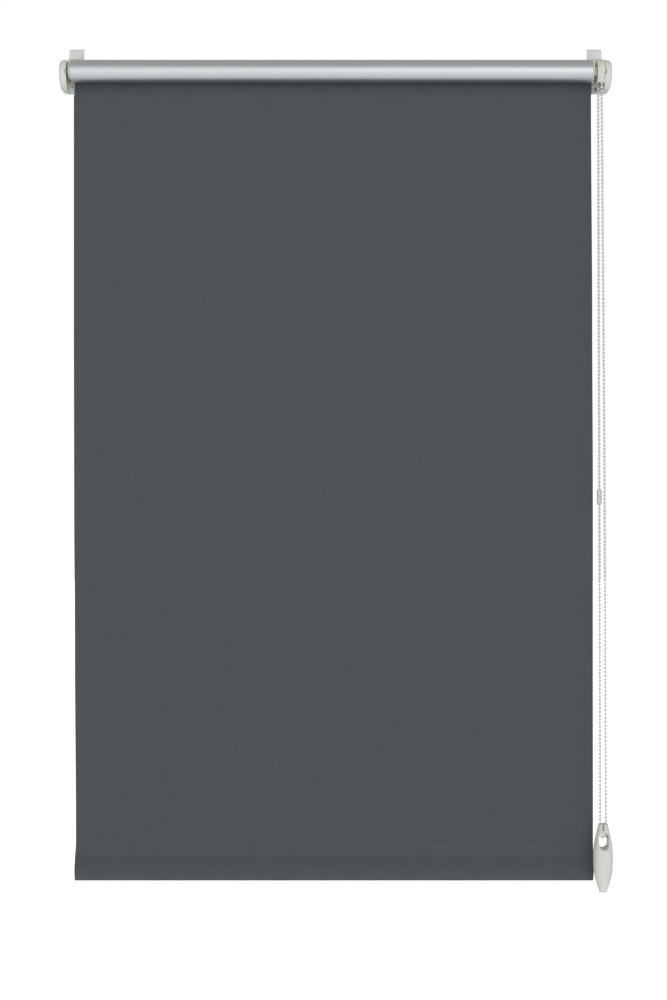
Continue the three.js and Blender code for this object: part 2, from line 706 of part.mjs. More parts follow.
const curtain = new THREE.Group();
blind.add(curtain);
add(curtain, "fabric_sheet", fabricSheet(), fabricGrey);
add(curtain, "hem_pocket", hemPocket(), fabricGrey);
add(curtain, "bottom_bar", ovalBar(BAR_SPAN, 0), aluminium);
add(curtain, "bar_cap_left", ovalBar([BAR_SPAN[0] - 2.4, BAR_SPAN[0] - 0.2], 0.1), whitePlastic);
add(curtain, "bar_cap_right", ovalBar([BAR_SPAN[1] + 0.2, BAR_SPAN[1] + 2.4], 0.1), whitePlastic);

const chain = new THREE.Group();
blind.add(chain);
add(chain, "chain_rear_strand", strand(REAR_TOP, REAR_FOOT), clearPlastic);
add(chain, "chain_front_strand", strand(FRONT_TOP, FRONT_FOOT), clearPlastic);
add(chain, "chain_weight_loop", weightLoop(), clearPlastic);

const connector = new THREE.Group();
const climb = new THREE.Vector3().subVectors(REAR_TOP, REAR_FOOT);
const share = (CONNECTOR.middle - REAR_FOOT.z) / climb.z;
connector.position.copy(REAR_FOOT).addScaledVector(climb, share);
connector.quaternion.setFromUnitVectors(Z_AXIS, climb.clone().normalize());
chain.add(connector);
add(connector, "connector_upper", connectorHalf(), clearPlastic);
add(connector, "connector_lower", connectorHalf(), clearPlastic).rotation.x = Math.PI;

const weight = new THREE.Group();
weight.position.set(WEIGHT.x, AXIS_Y, 0);
chain.add(weight);
add(weight, "weight_front_shell", weightShell(-1), whitePlastic);
add(weight, "weight_rear_shell", weightShell(1), whitePlastic);
add(weight, "weight_core", weightCore(), zincSteel);

export default blind;
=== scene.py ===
"""Looks for a roller blind that clamps over a window sash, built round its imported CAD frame.

Sizes are written in millimetres in the frame of the CAD model: +X along the roller to the chain
side, +Y to the window, +Z up, with the origin on top of the sash. Meshes are made in metres.
"""

import functools
import json
import logging
import math
from collections.abc import Callable, Sequence
from dataclasses import dataclass
from enum import Enum
from typing import Any

import bmesh
import bpy
from mathutils import Matrix, Vector, noise

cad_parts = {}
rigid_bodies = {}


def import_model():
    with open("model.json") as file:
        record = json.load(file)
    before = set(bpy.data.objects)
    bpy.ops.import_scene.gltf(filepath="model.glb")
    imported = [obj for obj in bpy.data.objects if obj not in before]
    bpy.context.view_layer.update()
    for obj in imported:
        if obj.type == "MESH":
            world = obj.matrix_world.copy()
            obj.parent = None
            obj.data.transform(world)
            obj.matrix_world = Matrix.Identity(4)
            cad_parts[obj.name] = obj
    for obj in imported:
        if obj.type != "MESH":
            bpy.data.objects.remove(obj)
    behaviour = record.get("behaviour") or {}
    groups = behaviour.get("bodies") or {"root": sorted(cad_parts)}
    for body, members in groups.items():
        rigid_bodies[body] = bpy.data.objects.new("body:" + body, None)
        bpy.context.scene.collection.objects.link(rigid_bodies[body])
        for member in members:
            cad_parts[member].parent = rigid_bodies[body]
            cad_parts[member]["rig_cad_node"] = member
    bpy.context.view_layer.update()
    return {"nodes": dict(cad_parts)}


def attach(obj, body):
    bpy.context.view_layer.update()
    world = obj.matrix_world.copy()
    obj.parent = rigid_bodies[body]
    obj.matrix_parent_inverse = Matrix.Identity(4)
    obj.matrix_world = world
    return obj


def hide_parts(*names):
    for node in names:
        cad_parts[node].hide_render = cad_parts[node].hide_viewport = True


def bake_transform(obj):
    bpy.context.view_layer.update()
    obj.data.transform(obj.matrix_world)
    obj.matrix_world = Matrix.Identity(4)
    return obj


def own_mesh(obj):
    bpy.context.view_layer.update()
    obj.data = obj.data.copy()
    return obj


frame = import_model()

MM = 0.001
log = logging.getLogger("roller_blind")

Flat = tuple[float, float]
Point = tuple[float, float, float]
Span = tuple[float, float]
Part = bpy.types.Object
Tree = bpy.types.NodeTree
Node = bpy.types.Node
Socket = bpy.types.NodeSocket


class Slot(Enum):
    """The record's material slots."""

    STEEL = "white_steel"
    ZINC = "zinc_steel"
    WHITE = "white_plastic"
    CREAM = "cream_plastic"
    CLEAR = "clear_plastic"
    ALUMINIUM = "anodised_aluminium"
    FABRIC = "blackout_fabric"
    FOAM = "foam"
    TAPE = "adhesive_tape"


class Body(Enum):
    """The moving bodies of the CAD model."""

    BRACKETS = "brackets"
    ROLLER = "roller"
    PIN = "idle_pin"
    HOOK = "hook_{side}"
    LOCK = "lock_{side}"
    HEM = "hem"
    CHAIN = "chain_loop"
    CONNECTOR = "chain_connector"
    WEIGHT = "chain_weight"


class Side(Enum):
    """The two ends of the blind, by the sign of X."""

    LEFT = -1
    RIGHT = 1

    @property
    def word(self) -> str:
        """The end's name as the CAD nodes spell it."""
        return self.name.lower()


class Axis(Enum):
    """The axis that a turned piece turns about, as the order its coordinates are written in."""

    X = (0, 1, 2)
    Y = (1, 2, 0)
    Z = (2, 0, 1)


# ---- Shared sizes, in millimetres ----

AXIS_Y = -19.5
AXIS_Z = -26.7
ROLLER_AXIS = (0, AXIS_Y, AXIS_Z)
CLAMP_X = 289.0
CLAMP_HALF = 8.1
STEEL = 1.2
FOAM = 1.0
BEAD = 3.2
PITCH = 4.24
POCKETS = 11
WHEEL_RADIUS = PITCH * POCKETS / math.tau
CHAIN_X = 292.3
FABRIC = 0.35
FABRIC_LEFT = -291.2
FABRIC_RIGHT = 285.2
FABRIC_RADIUS = 12.7
HEM_TOP = -880.5


# ---- Nodes and finishes ----

def linear(code: str) -> tuple[float, float, float, float]:
    """Turn an sRGB hex colour to linear RGBA.

    Args:
        code: six hex digits.

    Returns:
        The colour with an alpha of one.
    """
    parts = [int(code[i:i + 2], 16) / 255 for i in (0, 2, 4)]
    r, g, b = (c / 12.92 if c <= 0.04045 else ((c + 0.055) / 1.055) ** 2.4 for c in parts)
    return r, g, b, 1.0


def add_node(
    tree: Tree, kind: str, inputs: dict[str | int, Any], outputs: dict[str | int, Socket] | None = None,
    **settings: Any,
) -> Node:
    """Add a node with its settings and links.

    Args:
        tree: the tree that the node goes into.
        kind: the node's Blender type.
        inputs: a value, or a socket to link from, for each input by name or number.
        outputs: a socket to link to, for each output by name or number.
        settings: the node's own properties.

    Returns:
        The new node.
    """
    node = tree.nodes.new(kind)
    for key, value in settings.items():
        setattr(node, key, value)
    for key, value in inputs.items():
        if isinstance(value, Socket):
            tree.links.new(value, node.inputs[key])
        else:
            node.inputs[key].default_value = value
    for key, socket in (outputs or {}).items():
        tree.links.new(node.outputs[key], socket)
    return node


def per_metre(size_mm: float) -> float:
    """Noise scale whose features are about size_mm across."""
    return 1 / (size_mm * MM)


def band_scale(spacing_mm: float) -> float:
    """Wave texture scale whose bands are spacing_mm apart."""
    return math.tau / (20 * spacing_mm * MM)


@dataclass(frozen=True)
class Finish:
    """A real material with the way its surface was made."""

    name: str
    slot: Slot
    colour: str
    roughness: float
    metallic: float = 0.0
    ior: float = 1.5

    def surface(self, tree: Tree, shader: Node, place: Socket) -> None:
        """Add what the finish has beyond an even colour.

        Args:
            tree: the material's node tree.
            shader: its Principled shader.
            place: the point on the piece, in the piece's own coordinates.
        """


@functools.cache
def material_of(finish: Finish) -> bpy.types.Material:
    """The Blender material of a finish, made once.

    Args:
        finish: the finish to make.

    Returns:
        Its material.
    """
    material = bpy.data.materials.new(finish.name)
    material.use_nodes = True
    tree = material.node_tree
    shader = tree.nodes["Principled BSDF"]
    shader.inputs["Base Color"].default_value = linear(finish.colour)
    shader.inputs["Roughness"].default_value = finish.roughness
    shader.inputs["Metallic"].default_value = finish.metallic
    shader.inputs["IOR"].default_value = finish.ior
    material.diffuse_color = linear(finish.colour)
    finish.surface(tree, shader, add_node(tree, "ShaderNodeTexCoord", {}).outputs["Object"])
    return material


@dataclass(frozen=True)
class PowderCoat(Finish):
    """Powder coat on sheet steel: a smooth white skin with a faint orange peel."""

    peel_mm: float = 1.1
    patch_mm: float = 14.0

    def surface(self, tree: Tree, shader: Node, place: Socket) -> None:
        """Add the orange peel, and gloss that changes a little from patch to patch.

        Args:
            tree: the material's node tree.
            shader: its Principled shader.
            place: the point on the piece.
        """
        peel = {"Vector": place, "Scale": per_metre(self.peel_mm), "Detail": 1.0}
        peel = add_node(tree, "ShaderNodeTexNoise", peel)
        relief = {"Height": peel.outputs["Fac"], "Distance": 0.03 * MM}
        add_node(tree, "ShaderNodeBump", relief, {"Normal": shader.inputs["Normal"]})
        patch = {"Vector": place, "Scale": per_metre(self.patch_mm), "Detail": 2.0}
        patch = add_node(tree, "ShaderNodeTexNoise", patch)
        patch = patch.outputs["Fac"]
        gloss = {"Value": patch, "To Min": self.roughness - 0.05, "To Max": self.roughness + 0.07}
        add_node(tree, "ShaderNodeMapRange", gloss, {"Result": shader.inputs["Roughness"]})


@dataclass(frozen=True)
class ZincPlate(Finish):
    """Bright zinc on steel: grey with a cloudy sheen from the plating bath."""

    cloud_mm: float = 1.6
    dull: str = "9fa3a8"

    def surface(self, tree: Tree, shader: Node, place: Socket) -> None:
        """Add the clouds, in tone and in gloss.

        Args:
            tree: the material's node tree.
            shader: its Principled shader.
            place: the point on the piece.
        """
        cloud = {"Vector": place, "Scale": per_metre(self.cloud_mm), "Detail": 3.0}
        cloud = add_node(tree, "ShaderNodeTexNoise", cloud).outputs["Fac"]
        tone = {0: cloud, 6: linear(self.colour), 7: linear(self.dull)}
        add_node(tree, "ShaderNodeMix", tone, {2: shader.inputs["Base Color"]}, data_type="RGBA")
        gloss = {"Value": cloud, "To Min": self.roughness - 0.08, "To Max": self.roughness + 0.12}
        add_node(tree, "ShaderNodeMapRange", gloss, {"Result": shader.inputs["Roughness"]})


@dataclass(frozen=True)
class SparkErodedMoulding(Finish):
    """Plastic moulded against a spark-eroded tool: an even satin grain, a little uneven in tone."""

    shade: str = "d9dad5"
    grain_mm: float = 0.5
    depth_mm: float = 0.02
    flow_mm: float = 18.0

    def surface(self, tree: Tree, shader: Node, place: Socket) -> None:
        """Add the tool's grain and the flow of the melt, and let a little light into the skin.

        Args:
            tree: the material's node tree.
            shader: its Principled shader.
            place: the point on the piece.
        """
        grain = {"Vector": place, "Scale": per_metre(self.grain_mm), "Detail": 2.0}
        grain = add_node(tree, "ShaderNodeTexNoise", grain)
        relief = {"Height": grain.outputs["Fac"], "Distance": self.depth_mm * MM}
        add_node(tree, "ShaderNodeBump", relief, {"Normal": shader.inputs["Normal"]})
        flow = {"Vector": place, "Scale": per_metre(self.flow_mm), "Detail": 2.0}
        flow = add_node(tree, "ShaderNodeTexNoise", flow)
        share = {"Value": flow.outputs["Fac"], "From Min": 0.35, "From Max": 0.8}
        share = add_node(tree, "ShaderNodeMapRange", share)
        tone = {0: share.outputs["Result"], 6: linear(self.colour), 7: linear(self.shade)}
        add_node(tree, "ShaderNodeMix", tone, {2: shader.inputs["Base Color"]}, data_type="RGBA")
        shader.inputs["Subsurface Weight"].default_value = 0.08
        shader.inputs["Subsurface Scale"].default_value = 1.0 * MM


@dataclass(frozen=True)
class MilkyMoulding(Finish):
    """Unfilled plastic moulded in a polished tool: soft gloss, and light goes a little way in."""

    depth_mm: float = 2.0
    mottle_mm: float = 2.2
    shade: str = "d8dad6"

    def surface(self, tree: Tree, shader: Node, place: Socket) -> None:
        """Let light into the skin, and mottle it as thin mouldings are.

        Args:
            tree: the material's node tree.
            shader: its Principled shader.
            place: the point on the piece.
        """
        shader.inputs["Subsurface Weight"].default_value = 0.8
        shader.inputs["Subsurface Scale"].default_value = self.depth_mm * MM
        shader.inputs["Subsurface Radius"].default_value = (1.0, 0.96, 0.88)
        mottle = {"Vector": place, "Scale": per_metre(self.mottle_mm), "Detail": 1.0}
        mottle = add_node(tree, "ShaderNodeTexNoise", mottle)
        tone = {0: mottle.outputs["Fac"], 6: linear(self.colour), 7: linear(self.shade)}
        add_node(tree, "ShaderNodeMix", tone, {2: shader.inputs["Base Color"]}, data_type="RGBA")


@dataclass(frozen=True)
class AnodisedExtrusion(Finish):
    """Aluminium extruded through a die, etched and clear anodised: satin, with lines along it."""

    line_mm: float = 0.45
    # The lines run along X, so the pattern is squeezed to this share there.
    along: float = 0.0045
    light: str = "d4d8da"

    def surface(self, tree: Tree, shader: Node, place: Socket) -> None:
        """Add the die lines in tone, gloss and relief.

        Args:
            tree: the material's node tree.
            shader: its Principled shader.
            place: the point on the piece.
        """
        drawn = add_node(tree, "ShaderNodeMapping", {"Vector": place, "Scale": (self.along, 1.0, 1.0)})
        lines = {"Vector": drawn.outputs["Vector"], "Scale": per_metre(self.line_mm), "Detail": 2.0}
        lines = add_node(tree, "ShaderNodeTexNoise", lines).outputs["Fac"]
        tone = {0: lines, 6: linear(self.colour), 7: linear(self.light)}
        add_node(tree, "ShaderNodeMix", tone, {2: shader.inputs["Base Color"]}, data_type="RGBA")
        relief = {"Height": lines, "Distance": 0.006 * MM}
        add_node(tree, "ShaderNodeBump", relief, {0: shader.inputs["Normal"]})
        gloss = {"Value": lines, "To Min": self.roughness - 0.04, "To Max": self.roughness + 0.06}
        add_node(tree, "ShaderNodeMapRange", gloss, {"Result": shader.inputs["Roughness"]})


@dataclass(frozen=True)
class PlainWeave(Finish):
    """Polyester yarn in a plain weave with a matt coating: dark, even, with a faint thread grid."""

    # Threads lie 0.45 mm apart, too fine to show, so the grid is drawn twice as coarse.
    thread_mm: float = 0.9
    shade: str = "464b50"
    light: str = "54595e"

    def surface(self, tree: Tree, shader: Node, place: Socket) -> None:
        """Add the thread grid, slubs in the yarn and the coating's soft sheen.

        Args:
            tree: the material's node tree.
            shader: its Principled shader.
            place: the point on the piece.
        """
        bands = {"Vector": place, "Scale": band_scale(self.thread_mm), "Distortion": 0.6, "Detail": 1.0}
        weft, warp = (add_node(tree, "ShaderNodeTexWave", bands, bands_direction=d) for d in ("X", "Z"))
        weave = {0: weft.outputs["Fac"], 1: warp.outputs["Fac"]}
        weave = add_node(tree, "ShaderNodeMath", weave, operation="MULTIPLY")
        relief = {"Height": weave.outputs["Value"], "Distance": 0.035 * MM}
        add_node(tree, "ShaderNodeBump", relief, {"Normal": shader.inputs["Normal"]})
        slubs = []
        for scale in ((0.033, 1.0, 1.0), (1.0, 1.0, 0.033)):
            drawn = add_node(tree, "ShaderNodeMapping", {"Vector": place, "Scale": scale})
            yarn = {"Vector": drawn.outputs["Vector"], "Scale": per_metre(self.thread_mm), "Detail": 1.0}
            slubs.append(add_node(tree, "ShaderNodeTexNoise", yarn).outputs["Fac"])
        both = add_node(tree, "ShaderNodeMath", {0: slubs[0], 1: slubs[1]}, operation="MULTIPLY")
        share = {"Value": both.outputs["Value"], "From Min": 0.12, "From Max": 0.4}
        share = add_node(tree, "ShaderNodeMapRange", share)
        tone = {0: share.outputs["Result"], 6: linear(self.shade), 7: linear(self.light)}
        tone = add_node(tree, "ShaderNodeMix", tone, data_type="RGBA")
        calm = {0: 0.72, 6: tone.outputs[2], 7: linear(self.colour)}
        add_node(tree, "ShaderNodeMix", calm, {2: shader.inputs["Base Color"]}, data_type="RGBA")
        shader.inputs["Sheen Weight"].default_value = 0.08
        shader.inputs["Sheen Roughness"].default_value = 0.5
        shader.inputs["Specular IOR Level"].default_value = 0.25


@dataclass(frozen=True)
class ClosedCellFoam(Finish):
    """Closed-cell foam, sliced: a matt skin of small broken bubbles."""

    cell_mm: float = 0.5
    shade: str = "dcdcd8"

    def surface(self, tree: Tree, shader: Node, place: Socket) -> None:
        """Add the cells, in relief and in tone.

        Args:
            tree: the material's node tree.
            shader: its Principled shader.
            place: the point on the piece.
        """
        cells = {"Vector": place, "Scale": per_metre(self.cell_mm)}
        cells = add_node(tree, "ShaderNodeTexVoronoi", cells).outputs["Distance"]
        relief = {"Height": cells, "Distance": 0.12 * MM}
        add_node(tree, "ShaderNodeBump", relief, {0: shader.inputs["Normal"]})
        tone = {0: cells, 6: linear(self.colour), 7: linear(self.shade)}
        add_node(tree, "ShaderNodeMix", tone, {2: shader.inputs["Base Color"]}, data_type="RGBA")


@dataclass(frozen=True)
class TwistedYarn(Finish):
    """Polyester yarn, twisted and waxed: fine slanting strands along the cord."""

    strand_mm: float = 0.5
    shade: str = "c4c5c0"

    def surface(self, tree: Tree, shader: Node, place: Socket) -> None:
        """Add the strands, in relief and in tone.

        Args:
            tree: the material's node tree.
            shader: its Principled shader.
            place: the point on the piece.
        """
        strands = {"Vector": place, "Scale": band_scale(self.strand_mm)}
        strands = add_node(tree, "ShaderNodeTexWave", strands, bands_direction="DIAGONAL").outputs["Fac"]
        relief = {"Height": strands, "Distance": 0.05 * MM}
        add_node(tree, "ShaderNodeBump", relief, {0: shader.inputs["Normal"]})
        tone = {0: strands, 6: linear(self.colour), 7: linear(self.shade)}
        add_node(tree, "ShaderNodeMix", tone, {2: shader.inputs["Base Color"]}, data_type="RGBA")


# White powder coat over zinc-phosphated sheet: clean white with a soft, even gloss.
POWDER_COATED_STEEL = PowderCoat("powder_coated_steel", Slot.STEEL, "e2e2e4", 0.42)
# Bright zinc on the screws and springs: cool grey, cloudy, fairly shiny.
ZINC_PLATED_STEEL = ZincPlate("zinc_plated_steel", Slot.ZINC, "c6c8ca", 0.3, metallic=1.0)
# White ABS of the covers and the weight: opaque, satin, very slightly warm.
MOULDED_ABS = SparkErodedMoulding("moulded_abs", Slot.WHITE, "dfe1da", 0.4, ior=1.53, shade="d6d8d1")
# Natural acetal of the running parts: creamier than the covers, a little waxy.
MOULDED_ACETAL = SparkErodedMoulding("moulded_acetal", Slot.CREAM, "dcddd2", 0.36, ior=1.48, shade="d3d4c6")
# Clear-natural beads moulded on the cord: milky, glossy and part see-through.
MOULDED_BEADS = MilkyMoulding("moulded_polycarbonate_beads", Slot.CLEAR, "e3e5e2", 0.34, ior=1.58)
# The cord inside the beads: white polyester, duller than they are.
POLYESTER_CORD = TwistedYarn("twisted_polyester_cord", Slot.CLEAR, "dfe0db", 0.7, ior=1.5)
# Roller and bottom bar: satin silver that takes one soft highlight along its length.
ANODISED_ALUMINIUM = AnodisedExtrusion("anodised_aluminium", Slot.ALUMINIUM, "c8cccf", 0.4, metallic=1.0)
# Slate-grey roller cloth: flat and dark, with a grain that shows only close to.
WOVEN_POLYESTER = PlainWeave("coated_woven_polyester", Slot.FABRIC, "4f5459", 0.86, ior=1.5)
# Grip pads of the clamps: white, matt, full of fine cells.
FOAM_PAD = ClosedCellFoam("closed_cell_foam", Slot.FOAM, "efefeb", 0.9, ior=1.45)
# Double-sided tape between tube and cloth: yellowish, waxy liner.
TRANSFER_TAPE = SparkErodedMoulding("transfer_tape", Slot.TAPE, "dedcd2", 0.55, ior=1.47, shade="d2cfc2")


# ---- Mesh tools ----

def make_mesh(name: str, points: Sequence[Point], faces: Sequence[Sequence[int]]) -> Part:
    """Make an object from points in millimetres.

    Args:
        name: the object's name.
        points: its vertices.
        faces: its faces, as vertex numbers.

    Returns:
        The object, with its faces turned outward.
    """
    mesh = bpy.data.meshes.new(name)
    mesh.from_pydata([[c * MM for c in p] for p in points], [], faces)
    work = bmesh.new()
    work.from_mesh(mesh)
    bmesh.ops.recalc_face_normals(work, faces=work.faces)
    work.to_mesh(mesh)
    work.free()
    part = bpy.data.objects.new(name, mesh)
    bpy.context.scene.collection.objects.link(part)
    return part


def placed(axis: Axis, along: float, first: float, second: float) -> Point:
    """A point given by its place along an axis and the two that follow it.

    Args:
        axis: the axis.
        along: the place along it.
        first: the coordinate that follows the axis.
        second: the one after that.

    Returns:
        The point.
    """
    point = [0.0, 0.0, 0.0]
    for place, value in zip(axis.value, (along, first, second)):
        point[place] = value
    return tuple(point)


def turned(
    name: str, profile: Sequence[Flat], axis: Axis, centre: Point = (0, 0, 0), segments: int = 64,
    shape: Callable[[float, float], float] | None = None,
) -> Part:
    """Turn a profile about an axis.

    Args:
        name: the object's name.
        profile: points as (along the axis, radius). It starts and ends on the axis, or it closes.
        axis: the axis to turn about.
        centre: a point that the axis passes through.
        segments: steps round the axis.
        shape: the radius to use for a profile's radius and an angle, where the piece isn't round.

    Returns:
        The closed object.
    """
    closed = tuple(profile[0]) == tuple(profile[-1])
    rows = list(profile[:-1] if closed else profile)
    points: list[Point] = []
    rings: list[list[int]] = []
    for along, radius in rows:
        count = segments if radius > 1e-6 else 1
        rings.append(list(range(len(points), len(points) + count)))
        for step in range(count):
            angle = math.tau * step / segments
            out = shape(radius, angle) if shape else radius
            spot = placed(axis, along, out * math.cos(angle), out * math.sin(angle))
            points.append(tuple(a + b for a, b in zip(spot, centre)))
    faces: list[list[int]] = []
    pairs = list(zip(rings, rings[1:]))
    if closed:
        pairs.append((rings[-1], rings[0]))
    for low, high in pairs:
        for step in range(segments):
            after = (step + 1) % segments
            corners = [low[step % len(low)], low[after % len(low)]]
            corners += [high[after % len(high)], high[step % len(high)]]
            face = list(dict.fromkeys(corners))
            if len(face) > 2:
                faces.append(face)
    return make_mesh(name, points, faces)


def ring_faces(rings: int, sides: int) -> list[list[int]]:
    """Faces that join rings of vertices one after another and close both ends.

    Args:
        rings: how many rings there are.
        sides: how many vertices each has.

    Returns:
        The faces, as vertex numbers.
    """
    last = (rings - 1) * sides
    faces = []
    for low in range(0, last, sides):
        for k in range(sides):
            a, b = low + k, low + (k + 1) % sides
            faces.append([a, b, b + sides, a + sides])
    return [*faces, list(range(sides)), list(range(last, last + sides))]


def lofted(name: str, rings: Sequence[Sequence[Point]]) -> Part:
    """Join rings of equal count into a closed object."""
    return make_mesh(name, [point for ring in rings for point in ring], ring_faces(len(rings), len(rings[0])))


def coiled(name: str, radius: float, wire: float, span: Span, turns: int) -> Part:
    """A spring of round wire about the roller's axis.

    Args:
        name: the object's name.
        radius: from the axis to the middle of the wire.
        wire: the wire's radius.
        span: where the wire's middle starts and ends along X.
        turns: how many turns it has.

    Returns:
        The spring.
    """
    steps, sides = 28, 8
    lead = (span[1] - span[0]) / (turns * steps)
    rings = []
    for i in range(turns * steps + 1):
        angle = math.tau * i / steps
        ring = []
        for k in range(sides):
            round_wire = math.tau * k / sides
            out = radius + wire * math.cos(round_wire)
            x = span[0] + lead * i + wire * math.sin(round_wire)
            ring.append((x, AXIS_Y + out * math.cos(angle), AXIS_Z + out * math.sin(angle)))
        rings.append(ring)
    return lofted(name, rings)


def prism(name: str, outline: Sequence[Flat], span: Span, axis: Axis = Axis.X) -> Part:
    """Carry an outline along an axis.

    Args:
        name: the object's name.
        outline: the outline's points, in the two coordinates that follow the axis.
        span: where it starts and ends along the axis.
        axis: the axis.

    Returns:
        The closed object.
    """
    return lofted(name, [[placed(axis, along, a, b) for a, b in outline] for along in span])


def block(name: str, x: Span, y: Span, z: Span) -> Part:
    """A box between its ranges along X, Y and Z, as raw stock for cutting."""
    return prism(name, [(y[0], z[0]), (y[1], z[0]), (y[1], z[1]), (y[0], z[1])], x)


def rod(radius: float, span: Span, axis: Axis, centre: Point, segments: int = 40) -> Part:
    """A plain cylinder along an axis, as raw stock for cutting."""
    start, end = span
    return turned("rod", [(start, 0), (start, radius), (end, radius), (end, 0)], axis, centre, segments)


def cross_recess(arm: float, z: Span) -> list[Part]:
    """Two crossed blocks that cut a screwdriver's recess, each with arms of a given length."""
    long, short = (-arm, arm), (-0.35, 0.35)
    return [block("slot", x, y, z) for x, y in ((long, short), (short, long))]


def arc(centre: Flat, radius: float, start: float, end: float, steps: int = 12) -> list[Flat]:
    """Points along an arc.

    Args:
        centre: the arc's centre.
        radius: its radius.
        start: its first angle in degrees.
        end: its last angle in degrees.
        steps: how many pieces it has.

    Returns:
        The points, both ends included.
    """
    angles = [math.radians(start + (end - start) * i / steps) for i in range(steps + 1)]
    return [(centre[0] + radius * math.cos(a), centre[1] + radius * math.sin(a)) for a in angles]


def bezier(p0: Flat, p1: Flat, p2: Flat, p3: Flat, steps: int = 16) -> list[Flat]:
    """Points along a cubic curve between p0 and p3, both ends included.

    Args:
        p0: the first end.
        p1: the point that the curve leaves p0 towards.
        p2: the point that it comes to p3 from.
        p3: the last end.
        steps: how many pieces it has.

    Returns:
        The points.
    """
    found = []
    for i in range(steps + 1):
        t = i / steps
        weights = ((1 - t) ** 3, 3 * t * (1 - t) ** 2, 3 * t * t * (1 - t), t ** 3)
        found.append(tuple(sum(w * p[k] for w, p in zip(weights, (p0, p1, p2, p3))) for k in (0, 1)))
    return found


def inset(outline: Sequence[Flat], distance: float) -> list[Flat]:
    """Move a closed outline inward.

    Args:
        outline: its points, in either direction.
        distance: how far every edge moves.

    Returns:
        As many points, moved along their mitres.
    """
    count = len(outline)
    area = sum(a[0] * b[1] - b[0] * a[1] for a, b in zip(outline, list(outline[1:]) + [outline[0]]))
    turn = 1 if area > 0 else -1
    moved = []
    for i, here in enumerate(outline):
        normals = []
        for a, b in ((outline[i - 1], here), (here, outline[(i + 1) % count])):
            dx, dy = b[0] - a[0], b[1] - a[1]
            length = math.hypot(dx, dy) or 1
            normals.append((-dy / length * turn, dx / length * turn))
        mx, my = normals[0][0] + normals[1][0], normals[0][1] + normals[1][1]
        scale = 2 * distance / max(mx * mx + my * my, 0.5)
        moved.append((here[0] + mx * scale, here[1] + my * scale))
    return moved


def apply_modifiers(part: Part) -> Part:
    """Make a part's modifiers permanent.

    Args:
        part: the part.

    Returns:
        The same part, with a new mesh.
    """
    graph = bpy.context.evaluated_depsgraph_get()
    graph.update()
    mesh = bpy.data.meshes.new_from_object(part.evaluated_get(graph))
    part.modifiers.clear()
    part.data = mesh
    return part


def combine(part: Part, operation: str, others: Sequence[Part]) -> Part:
    """Add, cut or keep solids, one after another.

    Args:
        part: the solid to change.
        operation: DIFFERENCE, UNION or INTERSECT.
        others: the other solids, which are used up.

    Returns:
        The changed part.
    """
    for other in others:
        step = part.modifiers.new("solid", "BOOLEAN")
        step.operation = operation
        step.solver = "EXACT"
        step.object = other
        apply_modifiers(part)
        bpy.data.objects.remove(other)
    return part


def cut(part: Part, *tools: Part) -> Part:
    """Cut tools out of a part."""
    return combine(part, "DIFFERENCE", tools)


def joined(part: Part, *others: Part) -> Part:
    """Fuse others onto a part."""
    return combine(part, "UNION", others)


def soften(part: Part, width: float, segments: int = 2, angle: float = 40) -> Part:
    """Round a part's edges.

    Args:
        part: the part.
        width: the rounding's width in millimetres.
        segments: its steps.
        angle: only edges sharper than this many degrees are rounded.

    Returns:
        The part, with a modifier that stays on a CAD node and is made permanent on others.
    """
    bevel = part.modifiers.new("edge_rounding", "BEVEL")
    bevel.width = width * MM
    bevel.segments = segments
    bevel.limit_method = "ANGLE"
    bevel.angle_limit = math.radians(angle)
    bevel.use_clamp_overlap = True
    bevel.miter_outer = "MITER_ARC"
    if "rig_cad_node" not in part:
        apply_modifiers(part)
    return part


def mirrored(part: Part) -> Part:
    """Turn a right-hand part into its left-hand twin.

    Args:
        part: the part, which is changed.

    Returns:
        The same part.
    """
    part.data.transform(Matrix.Diagonal((-1, 1, 1, 1)))
    part.data.flip_normals()
    return part


def coat(part: Part, finish: Finish, angle: float) -> None:
    """Give a part its finish, and shade it smooth between its crisp edges.

    Args:
        part: the part.
        finish: its finish.
        angle: edges sharper than this many degrees stay crisp.
    """
    part.data.materials.clear()
    part.data.materials.append(material_of(finish))
    part.data.shade_smooth()
    part.data.set_sharp_from_angle(angle=math.radians(angle))


def settle(
    part: Part, finish: Finish, body: Body, *nodes: str, side: Side = Side.RIGHT, blended: bool = False
) -> Part:
    """Give a made part its finish, its body and the CAD nodes that it stands for.

    Args:
        part: the part.
        finish: its finish.
        body: the body it moves with.
        nodes: the CAD nodes that it replaces.
        side: which end's body, where there are two.
        blended: leave the part free of a body.

    Returns:
        The part.
    """
    coat(part, finish, 35)
    if nodes:
        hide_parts(*nodes)
    if not blended:
        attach(part, body.value.format(side=side.word))
    log.info("%s: %d faces, stands for %s", part.name, len(part.data.polygons), ", ".join(nodes) or "nothing")
    return part


def dress(node: str, finish: Finish, rounding: float = 0.0) -> Part:
    """Give a CAD node that stays its finish.

    Args:
        node: the node's name.
        finish: its finish.
        rounding: width of the rounding of its edges in millimetres, or 0 for none.

    Returns:
        The node's object.
    """
    part = frame["nodes"][node]
    coat(part, finish, 30)
    if rounding:
        soften(part, rounding)
    log.info("%s: CAD shape in %s", node, finish.name)
    return part


